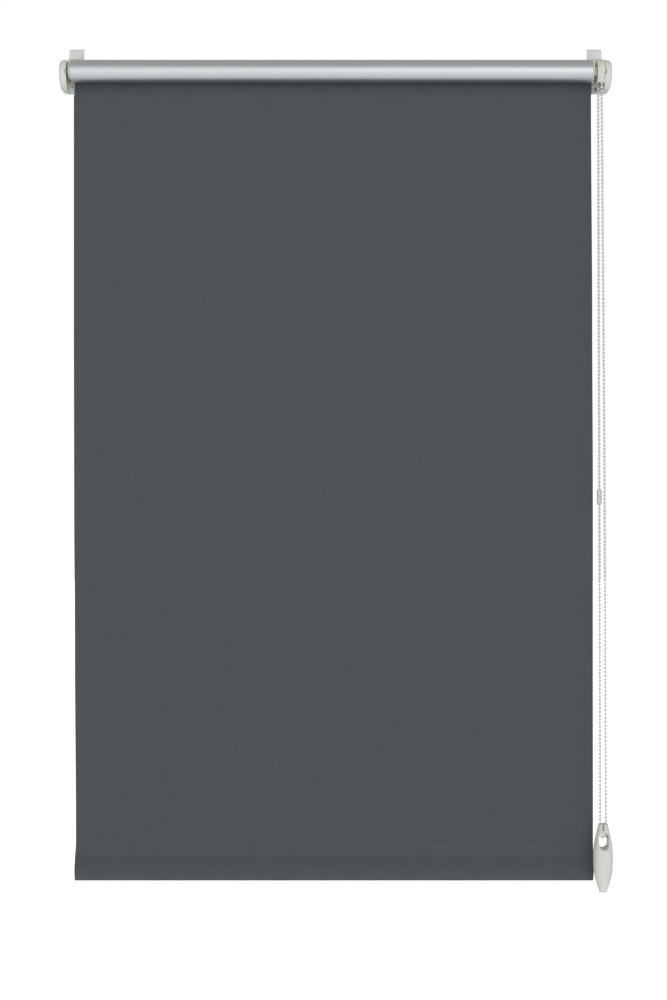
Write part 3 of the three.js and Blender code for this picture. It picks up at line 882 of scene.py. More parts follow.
def pan_screw(name: str, shank: float, head: float, height: float, length: float) -> Part:
    """Pan-head screw with a cross recess, its head's underside at z = 0.

    Args:
        name: the object's name.
        shank: the shank's radius.
        head: the head's radius.
        height: the head's height.
        length: how long the shank is.

    Returns:
        The screw.
    """
    point = [(-length, 0), (-length + 0.6, shank * 0.7), (-length + 0.9, shank), (0, shank)]
    crest = [(0, head), (height * 0.15, head)]
    angles = [math.radians(18 * i) for i in range(1, 6)]
    crown = [(height * math.sin(a), head - height * 0.9 * (1 - math.cos(a))) for a in angles]
    screw = turned(name, [*point, *crest, *crown, (height, 0)], Axis.Z, segments=40)
    return soften(cut(screw, *cross_recess(head * 0.62, (height * 0.4, height + 1))), 0.08, 2, 50)


# ---- Studio ----

@dataclass
class Studio:
    """Camera, soft light and a pale floor."""

    eye: Point = (-2.2, -1719.5, -500.35)
    lens: float = 55.36
    floor_z: float = -1010.0
    floor_half: float = 8000.0
    backdrop: str = "ffffff"
    paper: str = "f4f4f2"
    # The floor glows a little, so that it stays nearly white under dim light.
    paper_glow: float = 0.9
    # Clipping distances, the lamp's place and its aim are in metres.
    clip: Span = (0.05, 50.0)
    lamp_place: Point = (0.95, -2.3, 0.0)
    lamp_aim: Point = (0.0, 0.0, -0.4)
    # Brightness by height above the level in front: 0 is level in front, 90 overhead, 180 behind.
    glow: tuple[Flat, ...] = (
        (-180, 0.75), (-160, 0.65), (-140, 0.42), (-118, 0.39), (-98, 0.6), (-80, 0.8),
        (-62, 0.9), (-44, 0.98), (-24, 1.07), (-6, 1.25), (8, 1.23), (22, 0.95),
        (34, 0.62), (48, 0.44), (66, 0.45), (90, 0.48), (130, 0.44), (160, 0.36),
        (180, 0.75),
    )
    # The ramp's colours stay below one, so they are written dimmed and the strength makes up for it.
    dim: float = 0.5

    def camera(self) -> None:
        """Stand the camera in front of the middle of the blind, level."""
        data = bpy.data.cameras.new("camera")
        data.lens = self.lens
        data.sensor_width = 36
        data.clip_start, data.clip_end = self.clip
        camera = bpy.data.objects.new("camera", data)
        camera.location = [c * MM for c in self.eye]
        camera.rotation_euler = (math.radians(90), 0, 0)
        bpy.context.scene.collection.objects.link(camera)
        bpy.context.scene.camera = camera

    def surroundings(self) -> None:
        """Even white to look at, and a soft studio to be lit by: bright in front, dim above and behind."""
        world = bpy.data.worlds.new("studio")
        bpy.context.scene.world = world
        world.use_nodes = True
        tree = world.node_tree
        tree.nodes.clear()
        place = add_node(tree, "ShaderNodeTexCoord", {})
        across = add_node(tree, "ShaderNodeSeparateXYZ", {0: place.outputs["Generated"]})
        forward = add_node(tree, "ShaderNodeMath", {0: across.outputs["Y"], 1: -1.0}, operation="MULTIPLY")
        height = {0: across.outputs["Z"], 1: forward.outputs[0]}
        height = add_node(tree, "ShaderNodeMath", height, operation="ARCTAN2")
        share = {"Value": height.outputs[0], "From Min": -math.pi, "From Max": math.pi}
        share = add_node(tree, "ShaderNodeMapRange", share)
        ramp = add_node(tree, "ShaderNodeValToRGB", {"Fac": share.outputs["Result"]})
        ramp.color_ramp.interpolation = "CARDINAL"
        band = ramp.color_ramp.elements
        while len(band) < len(self.glow):
            band.new(1.0)
        for stop, (angle, level) in zip(band, self.glow):
            warm = 1.0 + 0.03 * min(1.0, max(-1.0, angle / 60))
            stop.position = (angle + 180) / 360
            stop.color = (level * warm * self.dim, level * self.dim, level * (2.0 - warm) * self.dim, 1)
        soft = {"Color": ramp.outputs["Color"], "Strength": 1 / self.dim}
        soft = add_node(tree, "ShaderNodeBackground", soft)
        white = add_node(tree, "ShaderNodeBackground", {"Color": linear(self.backdrop), "Strength": 1.0})
        seen = add_node(tree, "ShaderNodeLightPath", {})
        mixed = {0: seen.outputs["Is Camera Ray"], 1: soft.outputs[0], 2: white.outputs[0]}
        mixed = add_node(tree, "ShaderNodeMixShader", mixed)
        add_node(tree, "ShaderNodeOutputWorld", {"Surface": mixed.outputs[0]})

    def lamp(self, name: str, place: Point, power: float, size: float) -> None:
        """Add a soft square light that faces the middle of the blind.

        Args:
            name: the light's name.
            place: where it stands, in metres.
            power: its power in watts.
            size: its side in metres.
        """
        data = bpy.data.lights.new(name, "AREA")
        data.energy = power
        data.size = size
        light = bpy.data.objects.new(name, data)
        light.location = place
        aim = Vector(self.lamp_aim) - Vector(place)
        light.rotation_euler = aim.to_track_quat("-Z", "Y").to_euler()
        bpy.context.scene.collection.objects.link(light)

    def floor(self) -> None:
        """Lay a pale floor that the blind doesn't mirror."""
        half = self.floor_half
        corners = [(x * half, y * half, self.floor_z) for x, y in ((-1, -1), (1, -1), (1, 1), (-1, 1))]
        floor = make_mesh("floor", corners, [(0, 1, 2, 3)])
        material = bpy.data.materials.new("matt_paper")
        material.use_nodes = True
        shader = material.node_tree.nodes["Principled BSDF"]
        shader.inputs["Base Color"].default_value = linear(self.paper)
        shader.inputs["Roughness"].default_value = 0.95
        shader.inputs["Emission Color"].default_value = linear(self.backdrop)
        shader.inputs["Emission Strength"].default_value = self.paper_glow
        floor.data.materials.append(material)
        floor.visible_glossy = False
        floor.visible_diffuse = False
        floor.visible_transmission = False

    def build(self) -> None:
        """Make the whole studio."""
        self.camera()
        self.surroundings()
        self.lamp("key", self.lamp_place, 3.0, 1.4)
        self.floor()
        bpy.context.scene.view_settings.view_transform = "Standard"
        log.info("studio ready")


# ---- Chain ----

@dataclass
class BeadChain:
    """The operating chain: beads moulded on a cord, hanging from the wheel round the weight."""

    cord_radius: float = 0.5
    rear_top: Point = (291.7, AXIS_Y + WHEEL_RADIUS, AXIS_Z - 2.5 * PITCH)
    front_top: Point = (292.9, AXIS_Y - WHEEL_RADIUS, AXIS_Z - 3 * PITCH)
    weight_x: float = 295.8
    foot_z: float = -857.5
    half: float = 3.1
    bend: float = 4.3
    bend_z: float = -869.0
    bow: float = 0.7
    connector_z: float = -496.8

    def route(self) -> list[Vector]:
        """The free chain's line from the wheel's rear, round the weight, to the wheel's front.

        Returns:
            Points in millimetres, close together in the bends.
        """
        rear_foot = Vector((self.weight_x - self.half, AXIS_Y, self.foot_z))
        front_foot = Vector((self.weight_x + self.half, AXIS_Y, self.foot_z))
        steps = 16
        line = [Vector(self.rear_top).lerp(rear_foot, i / steps) for i in range(steps + 1)]
        for drop, half in ((-2.5, self.half), (-5.5, self.half + 0.25)):
            line.append(Vector((self.weight_x - half, AXIS_Y, self.foot_z + drop)))
        for i in range(13):
            angle = math.pi * i / 12
            x = self.weight_x - self.bend * math.cos(angle)
            line.append(Vector((x, AXIS_Y, self.bend_z - self.bend * math.sin(angle))))
        for drop, half in ((-5.5, self.half + 0.25), (-2.5, self.half)):
            line.append(Vector((self.weight_x + half, AXIS_Y, self.foot_z + drop)))
        for i in range(steps + 1):
            spot = front_foot.lerp(Vector(self.front_top), i / steps)
            spot.x += self.bow * math.sin(math.pi * i / steps)
            line.append(spot)
        return line

    def wheel_route(self) -> list[Vector]:
        """The chain's line over the wheel, with the two short runs inside the guard.

        Returns:
            Points in millimetres.
        """
        line = [Vector(self.rear_top), Vector((CHAIN_X, AXIS_Y + WHEEL_RADIUS, AXIS_Z - PITCH))]
        for y, z in arc((AXIS_Y, AXIS_Z), WHEEL_RADIUS, 0, 180, 24):
            line.append(Vector((CHAIN_X, y, z)))
        return [*line, Vector((CHAIN_X, AXIS_Y - WHEEL_RADIUS, AXIS_Z - PITCH)), Vector(self.front_top)]

    def strung(self, name: str, line: Sequence[Vector]) -> Part:
        """String beads on a cord.

        Args:
            name: the object's name.
            line: the cord's line in millimetres.

        Returns:
            One mesh: the cord in the second material, the beads in the first.
        """
        lengths = [0.0]
        for a, b in zip(line, line[1:]):
            lengths.append(lengths[-1] + (b - a).length)
        count = round(lengths[-1] / PITCH)
        step = lengths[-1] / count

        def at(distance: float) -> tuple[Vector, Vector]:
            """Place and direction at a distance along the line.

            Args:
                distance: how far along, in millimetres.

            Returns:
                The place and the direction.
            """
            k = max(i for i in range(len(line) - 1) if lengths[i] <= distance + 1e-9)
            along = (line[k + 1] - line[k]).normalized()
            return line[k] + along * (distance - lengths[k]), along

        points: list[Point] = []
        sides = 8
        marks = [i * step / 2 for i in range(2 * count + 1)]
        for mark in marks:
            spot, along = at(min(mark, lengths[-1] - 1e-6))
            turn = along.to_track_quat("Z", "Y")
            for k in range(sides):
                angle = math.tau * k / sides
                edge = Vector((math.cos(angle), math.sin(angle), 0)) * self.cord_radius
                points.append(tuple(spot + turn @ edge))
        faces = ring_faces(len(marks), sides)
        cord_faces = len(faces)
        around, rings = 12, 8
        for i in range(count):
            spot, along = at((i + 0.5) * step)
            turn = along.to_track_quat("Z", "Y")
            base = len(points)
            points.append(tuple(spot - along * BEAD / 2))
            for ring in range(1, rings):
                polar = math.pi * ring / rings
                for k in range(around):
                    angle = math.tau * k / around
                    out = math.sin(polar)
                    edge = Vector((out * math.cos(angle), out * math.sin(angle), -math.cos(polar)))
                    points.append(tuple(spot + turn @ edge * BEAD / 2))
            points.append(tuple(spot + along * BEAD / 2))
            last = len(points) - 1
            for k in range(around):
                after = (k + 1) % around
                faces.append([base, base + 1 + after, base + 1 + k])
                faces.append([last, last - around + k, last - around + after])
                for ring in range(rings - 2):
                    low = base + 1 + ring * around
                    faces.append([low + k, low + after, low + around + after, low + around + k])
        part = make_mesh(name, points, faces)
        part["cord_faces"] = cord_faces
        return part

    def finish_chain(self, part: Part, body: Body, *nodes: str, blended: bool = False) -> Part:
        """Dress a strung chain: beads in milky plastic, cord in polyester.

        Args:
            part: the strung chain.
            body: the body it moves with.
            nodes: the CAD nodes that it replaces.
            blended: leave it free of a body.

        Returns:
            The chain.
        """
        cord_faces = part["cord_faces"]
        settle(part, MOULDED_BEADS, body, *nodes, blended=blended)
        part.data.materials.append(material_of(POLYESTER_CORD))
        for face in part.data.polygons[:cord_faces]:
            face.material_index = 1
        return part

    def connector(self) -> list[Part]:
        """Two clip-together shells that close the chain, with windows over the beads.

        Returns:
            The two shells.
        """
        top, foot = Vector(self.rear_top), Vector((self.weight_x - self.half, AXIS_Y, self.foot_z))
        along = (top - foot).normalized()
        middle = foot + along * ((self.connector_z - foot.z) / along.z)
        radius, bore, end = 2.75, 1.9, 8.2
        halves = []
        for name, sign in (("connector_upper", 1), ("connector_lower", -1)):
            profile = [(0.1, bore), (0.1, radius - 0.12), (0.25, radius), (end - 1.6, radius)]
            profile += [(end - 1.0, radius - 0.12), (end - 0.5, radius - 0.4), (end - 0.1, radius - 0.8)]
            profile += [(end - 0.1, bore), (0.1, bore)]
            shell = turned(f"{name}_shell", profile, Axis.Z, segments=40)
            cut(shell, block("window", (-4, 4), (-0.85, 0.85), (2.2, end - 2.4)))
            soften(shell, 0.15, 2, 50)
            turn = Matrix.Rotation(0 if sign > 0 else math.pi, 4, "X")
            place = Matrix.Translation(middle * MM) @ along.to_track_quat("Z", "Y").to_matrix().to_4x4()
            shell.data.transform(place @ turn)
            halves.append(settle(shell, MOULDED_BEADS, Body.CONNECTOR, name))
        return halves

    def build(self, on_chain: Sequence[Part]) -> None:
        """Args:
            on_chain: the weight's pieces, which hang on it. Not used.
        """
        line = self.route()
        free = self.strung("bead_chain", line)
        nodes = ("chain_rear_strand", "chain_front_strand", "chain_weight_loop")
        self.finish_chain(free, Body.CHAIN, *nodes, blended=True)
        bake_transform(free)
        wheel = self.strung("beads_on_wheel", self.wheel_route())
        self.finish_chain(wheel, Body.BRACKETS, "chain_on_wheel")
        halves = self.connector()
        [c * MM for c in self.rear_top]


@dataclass
class ChainWeight:
    """Spindle-shaped weight in two shells that keeps the chain's loop down."""

    x: float = 295.8
    top: float = -858.0
    bottom: float = -933.7
    widest: float = -895.4
    radius: float = 11.1
    facets: int = 20
    hole_half: float = 5.25
    hole: Span = (-885.9, -866.7)
    bend_z: float = -869.0

    def profile(self) -> list[Flat]:
        """The outside as (height, radius), from the bottom to the top.

        Returns:
            The points.
        """
        b, w, t = self.bottom, self.widest, self.top
        rim = [(b, 0.0), (b, 2.2), (b + 0.1, 3.9), (b + 0.45, 4.55), (b + 0.9, 4.8), (b + 1.4, 4.75)]
        rim += [(b + 1.9, 4.6), (b + 2.2, 4.6)]
        swell = [(b + 8, 6.85), (b + 14, 8.75), (b + 20, 10.0), (b + 26, 10.75), (w - 5, 11.0), (w, 11.1)]
        taper = [(w + 6, 10.95), (w + 12, 10.45), (w + 18, 9.6), (w + 24, 8.4), (w + 29, 7.2)]
        crown = [(t - 4.5, 6.15), (t - 2, 5.65), (t - 0.8, 5.4), (t - 0.25, 5.05)]
        crown += [(t, 4.5), (t, 2.2), (t, 0.0)]
        return rim + swell + taper + crown

    def body(self, name: str) -> Part:
        """The whole spindle, with soft facets round it.

        Args:
            name: the object's name.

        Returns:
            The spindle.
        """

        def faceted(radius: float, angle: float) -> float:
            """Radius at an angle, drawn in between the facets' corners where the spindle is thick.

            Args:
                radius: the radius at a facet's corner.
                angle: the angle round the spindle.

            Returns:
                The radius there.
            """
            share = min(1.0, max(0.0, (radius - 4.9) / 3))
            part_way = (angle * self.facets / math.tau) % 1 - 0.5
            flat = math.cos(math.pi / self.facets) / math.cos(math.tau * part_way / self.facets)
            return radius * (1 + (flat - 1) * share * 0.9)

        return turned(name, self.profile(), Axis.Z, (self.x, AXIS_Y, 0), 96, faceted)

    def shell(self, name: str, sign: int) -> Part:
        """One shell, with its half of the hole, the chain's channels and the tongue.

        Args:
            name: the object's name.
            sign: -1 for the room side, 1 for the window side.

        Returns:
            The shell.
        """
        x, y = self.x, AXIS_Y
        part = self.body(name)
        half = self.hole_half
        upper = arc((x, self.hole[1] - half), half, 0, 180, 20)
        lower = arc((x, self.hole[0] + half), half, 180, 360, 20)
        window = prism("window", [(b, a) for a, b in upper + lower], (y - 20, y + 20), Axis.Y)
        slit = block("slit", (x - 1.5, x + 0.2), (y - 20, y - 1), (self.hole[1] + 1.8, self.top + 1))
        room = 6.2
        height = (self.bend_z - room, self.bend_z + 3.4)
        chamber = block("chamber", (x - room, x + room), (y - 2, y + 2), height)
        core = rod(5.2, (-925, -892), Axis.Z, (x, y, 0), 32)
        channels = []
        for offset in (-3.1, 3.1):
            stack = [(-868.7, 0), (-868.7, 2.5), (-862, 2.5), (-862, 1.85), (-857, 1.85), (-857, 0)]
            channels.append(turned("channel", stack, Axis.Z, (x + offset, y, 0), 24))
        cut(part, window, slit, chamber, core, *channels)
        spool = [(-3.4, 0), (-3.4, 2.0), (-3.0, 2.4), (3.0, 2.4), (3.4, 2.0), (3.4, 0)]
        tongue = turned("tongue", spool, Axis.Y, (x, y, self.bend_z), 32)
        web = block("web", (x - 1.1, x + 1.1), (y - 3.4, y + 3.4), (self.bend_z, -865.6))
        joined(part, tongue, web)
        side = (y - 20, y - 0.06) if sign < 0 else (y + 0.06, y + 20)
        combine(part, "INTERSECT", [block("half", (x - 20, x + 20), side, (self.bottom - 2, self.top + 2))])
        return soften(part, 0.22, 2, 48)

    def build(self) -> list[Part]:
        """Make the weight.

        Returns:
            Its pieces.
        """
        front = settle(self.shell("weight_room_side", -1), MOULDED_ABS, Body.WEIGHT, "weight_front_shell")
        rear = settle(self.shell("weight_window_side", 1), MOULDED_ABS, Body.WEIGHT, "weight_rear_shell")
        core = dress("weight_core", ZINC_PLATED_STEEL, 0.4)
        return [front, rear, core]


# ---- Clamps ----

@dataclass
class Clamp:
    """One end's clamp with its bracket arm and end cover, drawn for the chain side."""

    side: Side
    half: float = CLAMP_HALF
    plate_top: float = FOAM + STEEL
    plate_bottom: float = -47.3
    reach: float = 11.5
    sash: float = 18.0
    hook_drop: float = 12.0
    lock_y: float = 8.5
    flange_half: float = 5.8
    leg_half: float = 4.6
    cover_inner: float = 296.4
    cover_outer: float = 304.2
    cover_wall: float = 1.4
    cover_dome: float = 4.4
    cover_back: float = -3.7
    arm_screw_z: float = -43.5
    screw_hole: float = 1.6

    @property
    def hook_top(self) -> float:
        """Height of the hook's upper face."""
        return self.plate_top + 0.2 + STEEL

    def sided(self, part: Part) -> Part:
        """The part as drawn, or its mirror image for the left end."""
        return part if self.side is Side.RIGHT else mirrored(part)

    def named(self, what: str) -> str:
        """A name that ends in left or right."""
        return f"{what}_{self.side.word}"

    def place(self, part: Part, finish: Finish, body: Body, *nodes: str) -> Part:
        """Mirror a part if need be, and settle it on this end's body."""
        return settle(self.sided(part), finish, body, *map(self.named, nodes), side=self.side)

    def plate(self) -> Part:
        """Back plate: sheet steel with a flange bent over the top of the sash.

        Returns:
            The plate.
        """
        front, back, top = -FOAM - STEEL, -FOAM, self.plate_top
        outer = 2.0
        side = [(front, self.plate_bottom), (back, self.plate_bottom)]
        side += arc((back + 0.3, FOAM - 0.3), 0.3, 180, 90, 4)
        side += [(self.reach, FOAM), (self.reach, top)]
        side += arc((front + outer, top - outer), outer, 90, 180, 10)
        part = prism(self.named("back_plate_sheet"), side, (CLAMP_X - self.half, CLAMP_X + self.half))
        narrowed = self.shoulders(self.flange_half, (1, self.reach + 1), (0, 4))
        hole = rod(self.screw_hole, (-1, 4), Axis.Z, (CLAMP_X, self.lock_y, 0), 28)
        arm_hole = rod(self.screw_hole, (-6, 4), Axis.Y, (CLAMP_X, 0, self.arm_screw_z), 28)
        return soften(cut(part, hole, arm_hole, *narrowed), 0.16, 2, 40)

    def hook(self) -> Part:
        """Hook: a strip bent down behind the sash, slotted for the lock screw.

        Returns:
            The hook.
        """
        lip, top = self.sash + FOAM, self.hook_top
        under = top - STEEL
        side = [(0.6, under)]
        side += arc((lip - 0.4, under - 0.4), 0.4, 90, 0, 4)
        side += [(lip, top - self.hook_drop), (lip + STEEL, top - self.hook_drop)]
        side += arc((lip + STEEL - 2, top - 2), 2, 0, 90, 10)
        side += [(0.6, top)]
        part = prism(self.named("hook_strip"), side, (CLAMP_X - self.half, CLAMP_X + self.half))
        slot = arc((CLAMP_X, self.lock_y + 2), 1.7, 0, 180, 16)
        slot += arc((CLAMP_X, self.lock_y - 4), 1.7, 180, 360, 16)
        narrowed = self.shoulders(self.leg_half, (2.0, lip + 3), (-20, 6))
        return soften(cut(part, prism("slot", slot, (0, 6), Axis.Z), *narrowed), 0.16, 2, 40)

    def shoulders(self, half: float, y: Span, z: Span) -> list[Part]:
        """Two blocks that narrow a strip from the clamp's width.

        Args:
            half: half the width that stays.
            y: where the narrowing starts and ends along Y.
            z: and along Z.

        Returns:
            The blocks to cut away.
        """
        spans = ((CLAMP_X - self.half - 1, CLAMP_X - half), (CLAMP_X + half, CLAMP_X + self.half + 1))
        return [block("shoulder", span, y, z) for span in spans]

    def pad(self, what: str, half: float, y: Span, z: Span) -> Part:
        """A die-cut foam pad with slightly rounded edges."""
        return soften(block(self.named(what), (CLAMP_X - half, CLAMP_X + half), y, z), 0.18, 3)

    def outline(self, margin: float, back: float, fine: int = 3) -> list[Flat]:
        """Side outline of the end cover, drawn inward by a margin and open to the rear.

        Args:
            margin: how far inside the cover's outside it lies.
            back: the Y where it ends at the rear.
            fine: steps multiplier of its curves.

        Returns:
            The outline in Y and Z.
        """
        radius = 12.1 - margin
        front = AXIS_Y - radius
        bottom = AXIS_Z - 21 + margin
        line = [(back, bottom), (back, AXIS_Z + radius), (AXIS_Y + 4, AXIS_Z + radius)]
        line += arc((AXIS_Y, AXIS_Z), radius, 90, 180, 8 * fine)
        low = AXIS_Z - 12
        line += bezier((front, AXIS_Z), (front, low), (front + 7, bottom), (front + 17, bottom), 8 * fine)[1:]
        return line

    def cover(self) -> Part:
        """End cover: a dished moulding with a domed face, snapped over the arm.

        Returns:
            The cover.
        """
        outside = self.outline(0, self.cover_back)
        steps = 10
        shoulder = self.cover_outer - self.cover_dome
        layers = [(self.cover_inner, 0.0)]
        for i in range(steps + 1):
            angle = math.pi / 2 * i / steps
            rise, margin = self.cover_dome * math.sin(angle), self.cover_dome * (1 - math.cos(angle))
            layers.append((shoulder + rise, margin))
        rings = [[(x, y, z) for y, z in inset(outside, margin)] for x, margin in layers]
        part = lofted(self.named("end_cover_moulding"), rings)
        inside = self.outline(self.cover_wall, 1.0, 2)
        hollow = prism("hollow", inside, (self.cover_inner - 1, shoulder + 1))
        slot = block("slot", (296.9, 298), (AXIS_Y - 20.5, AXIS_Y), (AXIS_Z - 5.5, AXIS_Z))
        return soften(cut(part, hollow, slot), 0.2, 2, 50)

    def arm_screw(self) -> Part:
        """Countersunk screw that holds the arm on the back plate.

        Returns:
            The screw.
        """
        profile = [(-3.2, 0), (-3.2, 1.4), (0.1, 1.4), (1.35, 2.75), (1.5, 2.75), (1.5, 0)]
        screw = turned(self.named("arm_fixing_screw"), profile, Axis.Z, segments=40)
        soften(cut(screw, *cross_recess(1.6, (0.7, 3))), 0.07, 2, 50)
        place = Matrix.Translation(Vector((CLAMP_X, -4.0, self.arm_screw_z)) * MM)
        screw.data.transform(place @ Matrix.Rotation(math.pi / 2, 4, "X"))
        return screw

    def lock_screw(self) -> Part:
        """Pan-head screw that locks the hook once it grips the sash.

        Returns:
            The screw.
        """
        screw = pan_screw(self.named("clamp_lock_screw"), 1.3, 2.7, 1.6, 3.2)
        screw.data.transform(Matrix.Translation(Vector((CLAMP_X, self.lock_y, self.hook_top + 0.1)) * MM))
        return screw

    def build(self) -> None:
        """Make the clamp, its arm and its cover."""
        self.place(self.plate(), POWDER_COATED_STEEL, Body.BRACKETS, "back_plate")
        self.place(self.hook(), POWDER_COATED_STEEL, Body.HOOK, "clamp_hook")
        seat = self.pad("seat_foam", self.flange_half, (0.4, 5.8), (0, FOAM))
        self.place(seat, FOAM_PAD, Body.BRACKETS, "seat_pad")
        back = self.pad("back_foam", self.half, (-FOAM, 0), (self.plate_bottom + 16, self.plate_bottom + 46))
        self.place(back, FOAM_PAD, Body.BRACKETS, "back_pad")
        lip_y, lip_z = (self.sash, self.sash + FOAM), (self.hook_top - self.hook_drop, -0.5)
        lip = self.pad("lip_foam", self.leg_half, lip_y, lip_z)
        self.place(lip, FOAM_PAD, Body.HOOK, "lip_pad")
        self.place(self.cover(), MOULDED_ABS, Body.BRACKETS, "end_cover")
        self.place(self.arm_screw(), ZINC_PLATED_STEEL, Body.BRACKETS, "arm_screw")
        self.place(self.lock_screw(), ZINC_PLATED_STEEL, Body.LOCK, "lock_screw")
        dress(self.named("bracket_arm"), MOULDED_ACETAL, 0.25)


# ---- Roller ----

@dataclass
class Roller:
    """The aluminium tube with the spring-loaded idle end."""

    radius: float = 12.5
    wall: float = 0.8
    idle_end: float = -291.7
    drive_end: float = 283.0

    def tube(self) -> Part:
        """The tube, its cut ends slightly broken.

        Returns:
            The tube.
        """
        inner, outer, edge = self.radius - self.wall, self.radius, 0.15
        a, b = self.idle_end, self.drive_end
        outside = [(a, inner + edge), (a, outer - edge), (a + edge, outer), (b - edge, outer)]
        inside = [(b, outer - edge), (b, inner + edge), (b - edge, inner), (a + edge, inner)]
        inside.append(outside[0])
        return turned("tube_extrusion", outside + inside, Axis.X, ROLLER_AXIS, 144)

    def idle_plug(self) -> Part:
        """The plug in the idle end, with the collar that stands proud of the tube.

        Returns:
            The plug.
        """
        plug, cavity, hole, collar, end = 11.4, 4.6, 2.8, 8.85, self.idle_end
        profile = [(end, plug), (end, collar), (-294.4, collar), (-294.7, collar - 0.3), (-294.7, hole + 0.3)]
        profile += [(-294.4, hole), (-289, hole), (-289, cavity), (-266, cavity), (-266, plug), (end, plug)]
        return turned("idle_end_plug", profile, Axis.X, ROLLER_AXIS, 72)

    def idle_pin(self) -> Part:
        """The sprung pin, with a rounded nose.

        Returns:
            The pin.
        """
        r, collar, tip = 2.5, 4.2, -299.4
        shank = [(-266, 0), (-266, r - 0.2), (-266.2, r), (-286.7, r), (-286.7, collar), (-288.7, collar)]
        angles = [math.radians(15 * i) for i in range(1, 7)]
        nose = [(tip - math.sin(a), r - 1.0 + math.cos(a)) for a in angles]
        profile = [*shank, (-288.7, r), (tip, r), *nose, (tip - 1.0, 0)]
        return turned("sprung_pin", profile, Axis.X, ROLLER_AXIS, 40)

    def idle_spring(self) -> None:
        """The pin's spring, coiled from its free end to its fixed end."""
        wire, free_end, fixed_end = 0.45, -285.9, -270.2
        spring = coiled("pin_spring", 3.5, wire, (free_end, fixed_end), 5)
        settle(spring, ZINC_PLATED_STEEL, Body.ROLLER, "idle_spring")
        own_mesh(spring)

    def build(self) -> None:
        """Make the tube and its idle end."""
        settle(self.tube(), ANODISED_ALUMINIUM, Body.ROLLER, "roller_tube")
        settle(self.idle_plug(), MOULDED_ACETAL, Body.ROLLER, "idle_plug")
        settle(self.idle_pin(), MOULDED_ABS, Body.PIN, "idle_pin")
        self.idle_spring()
        dress("pin_retainer", MOULDED_ABS, 0.15)
        dress("adhesive_strip", TRANSFER_TAPE)


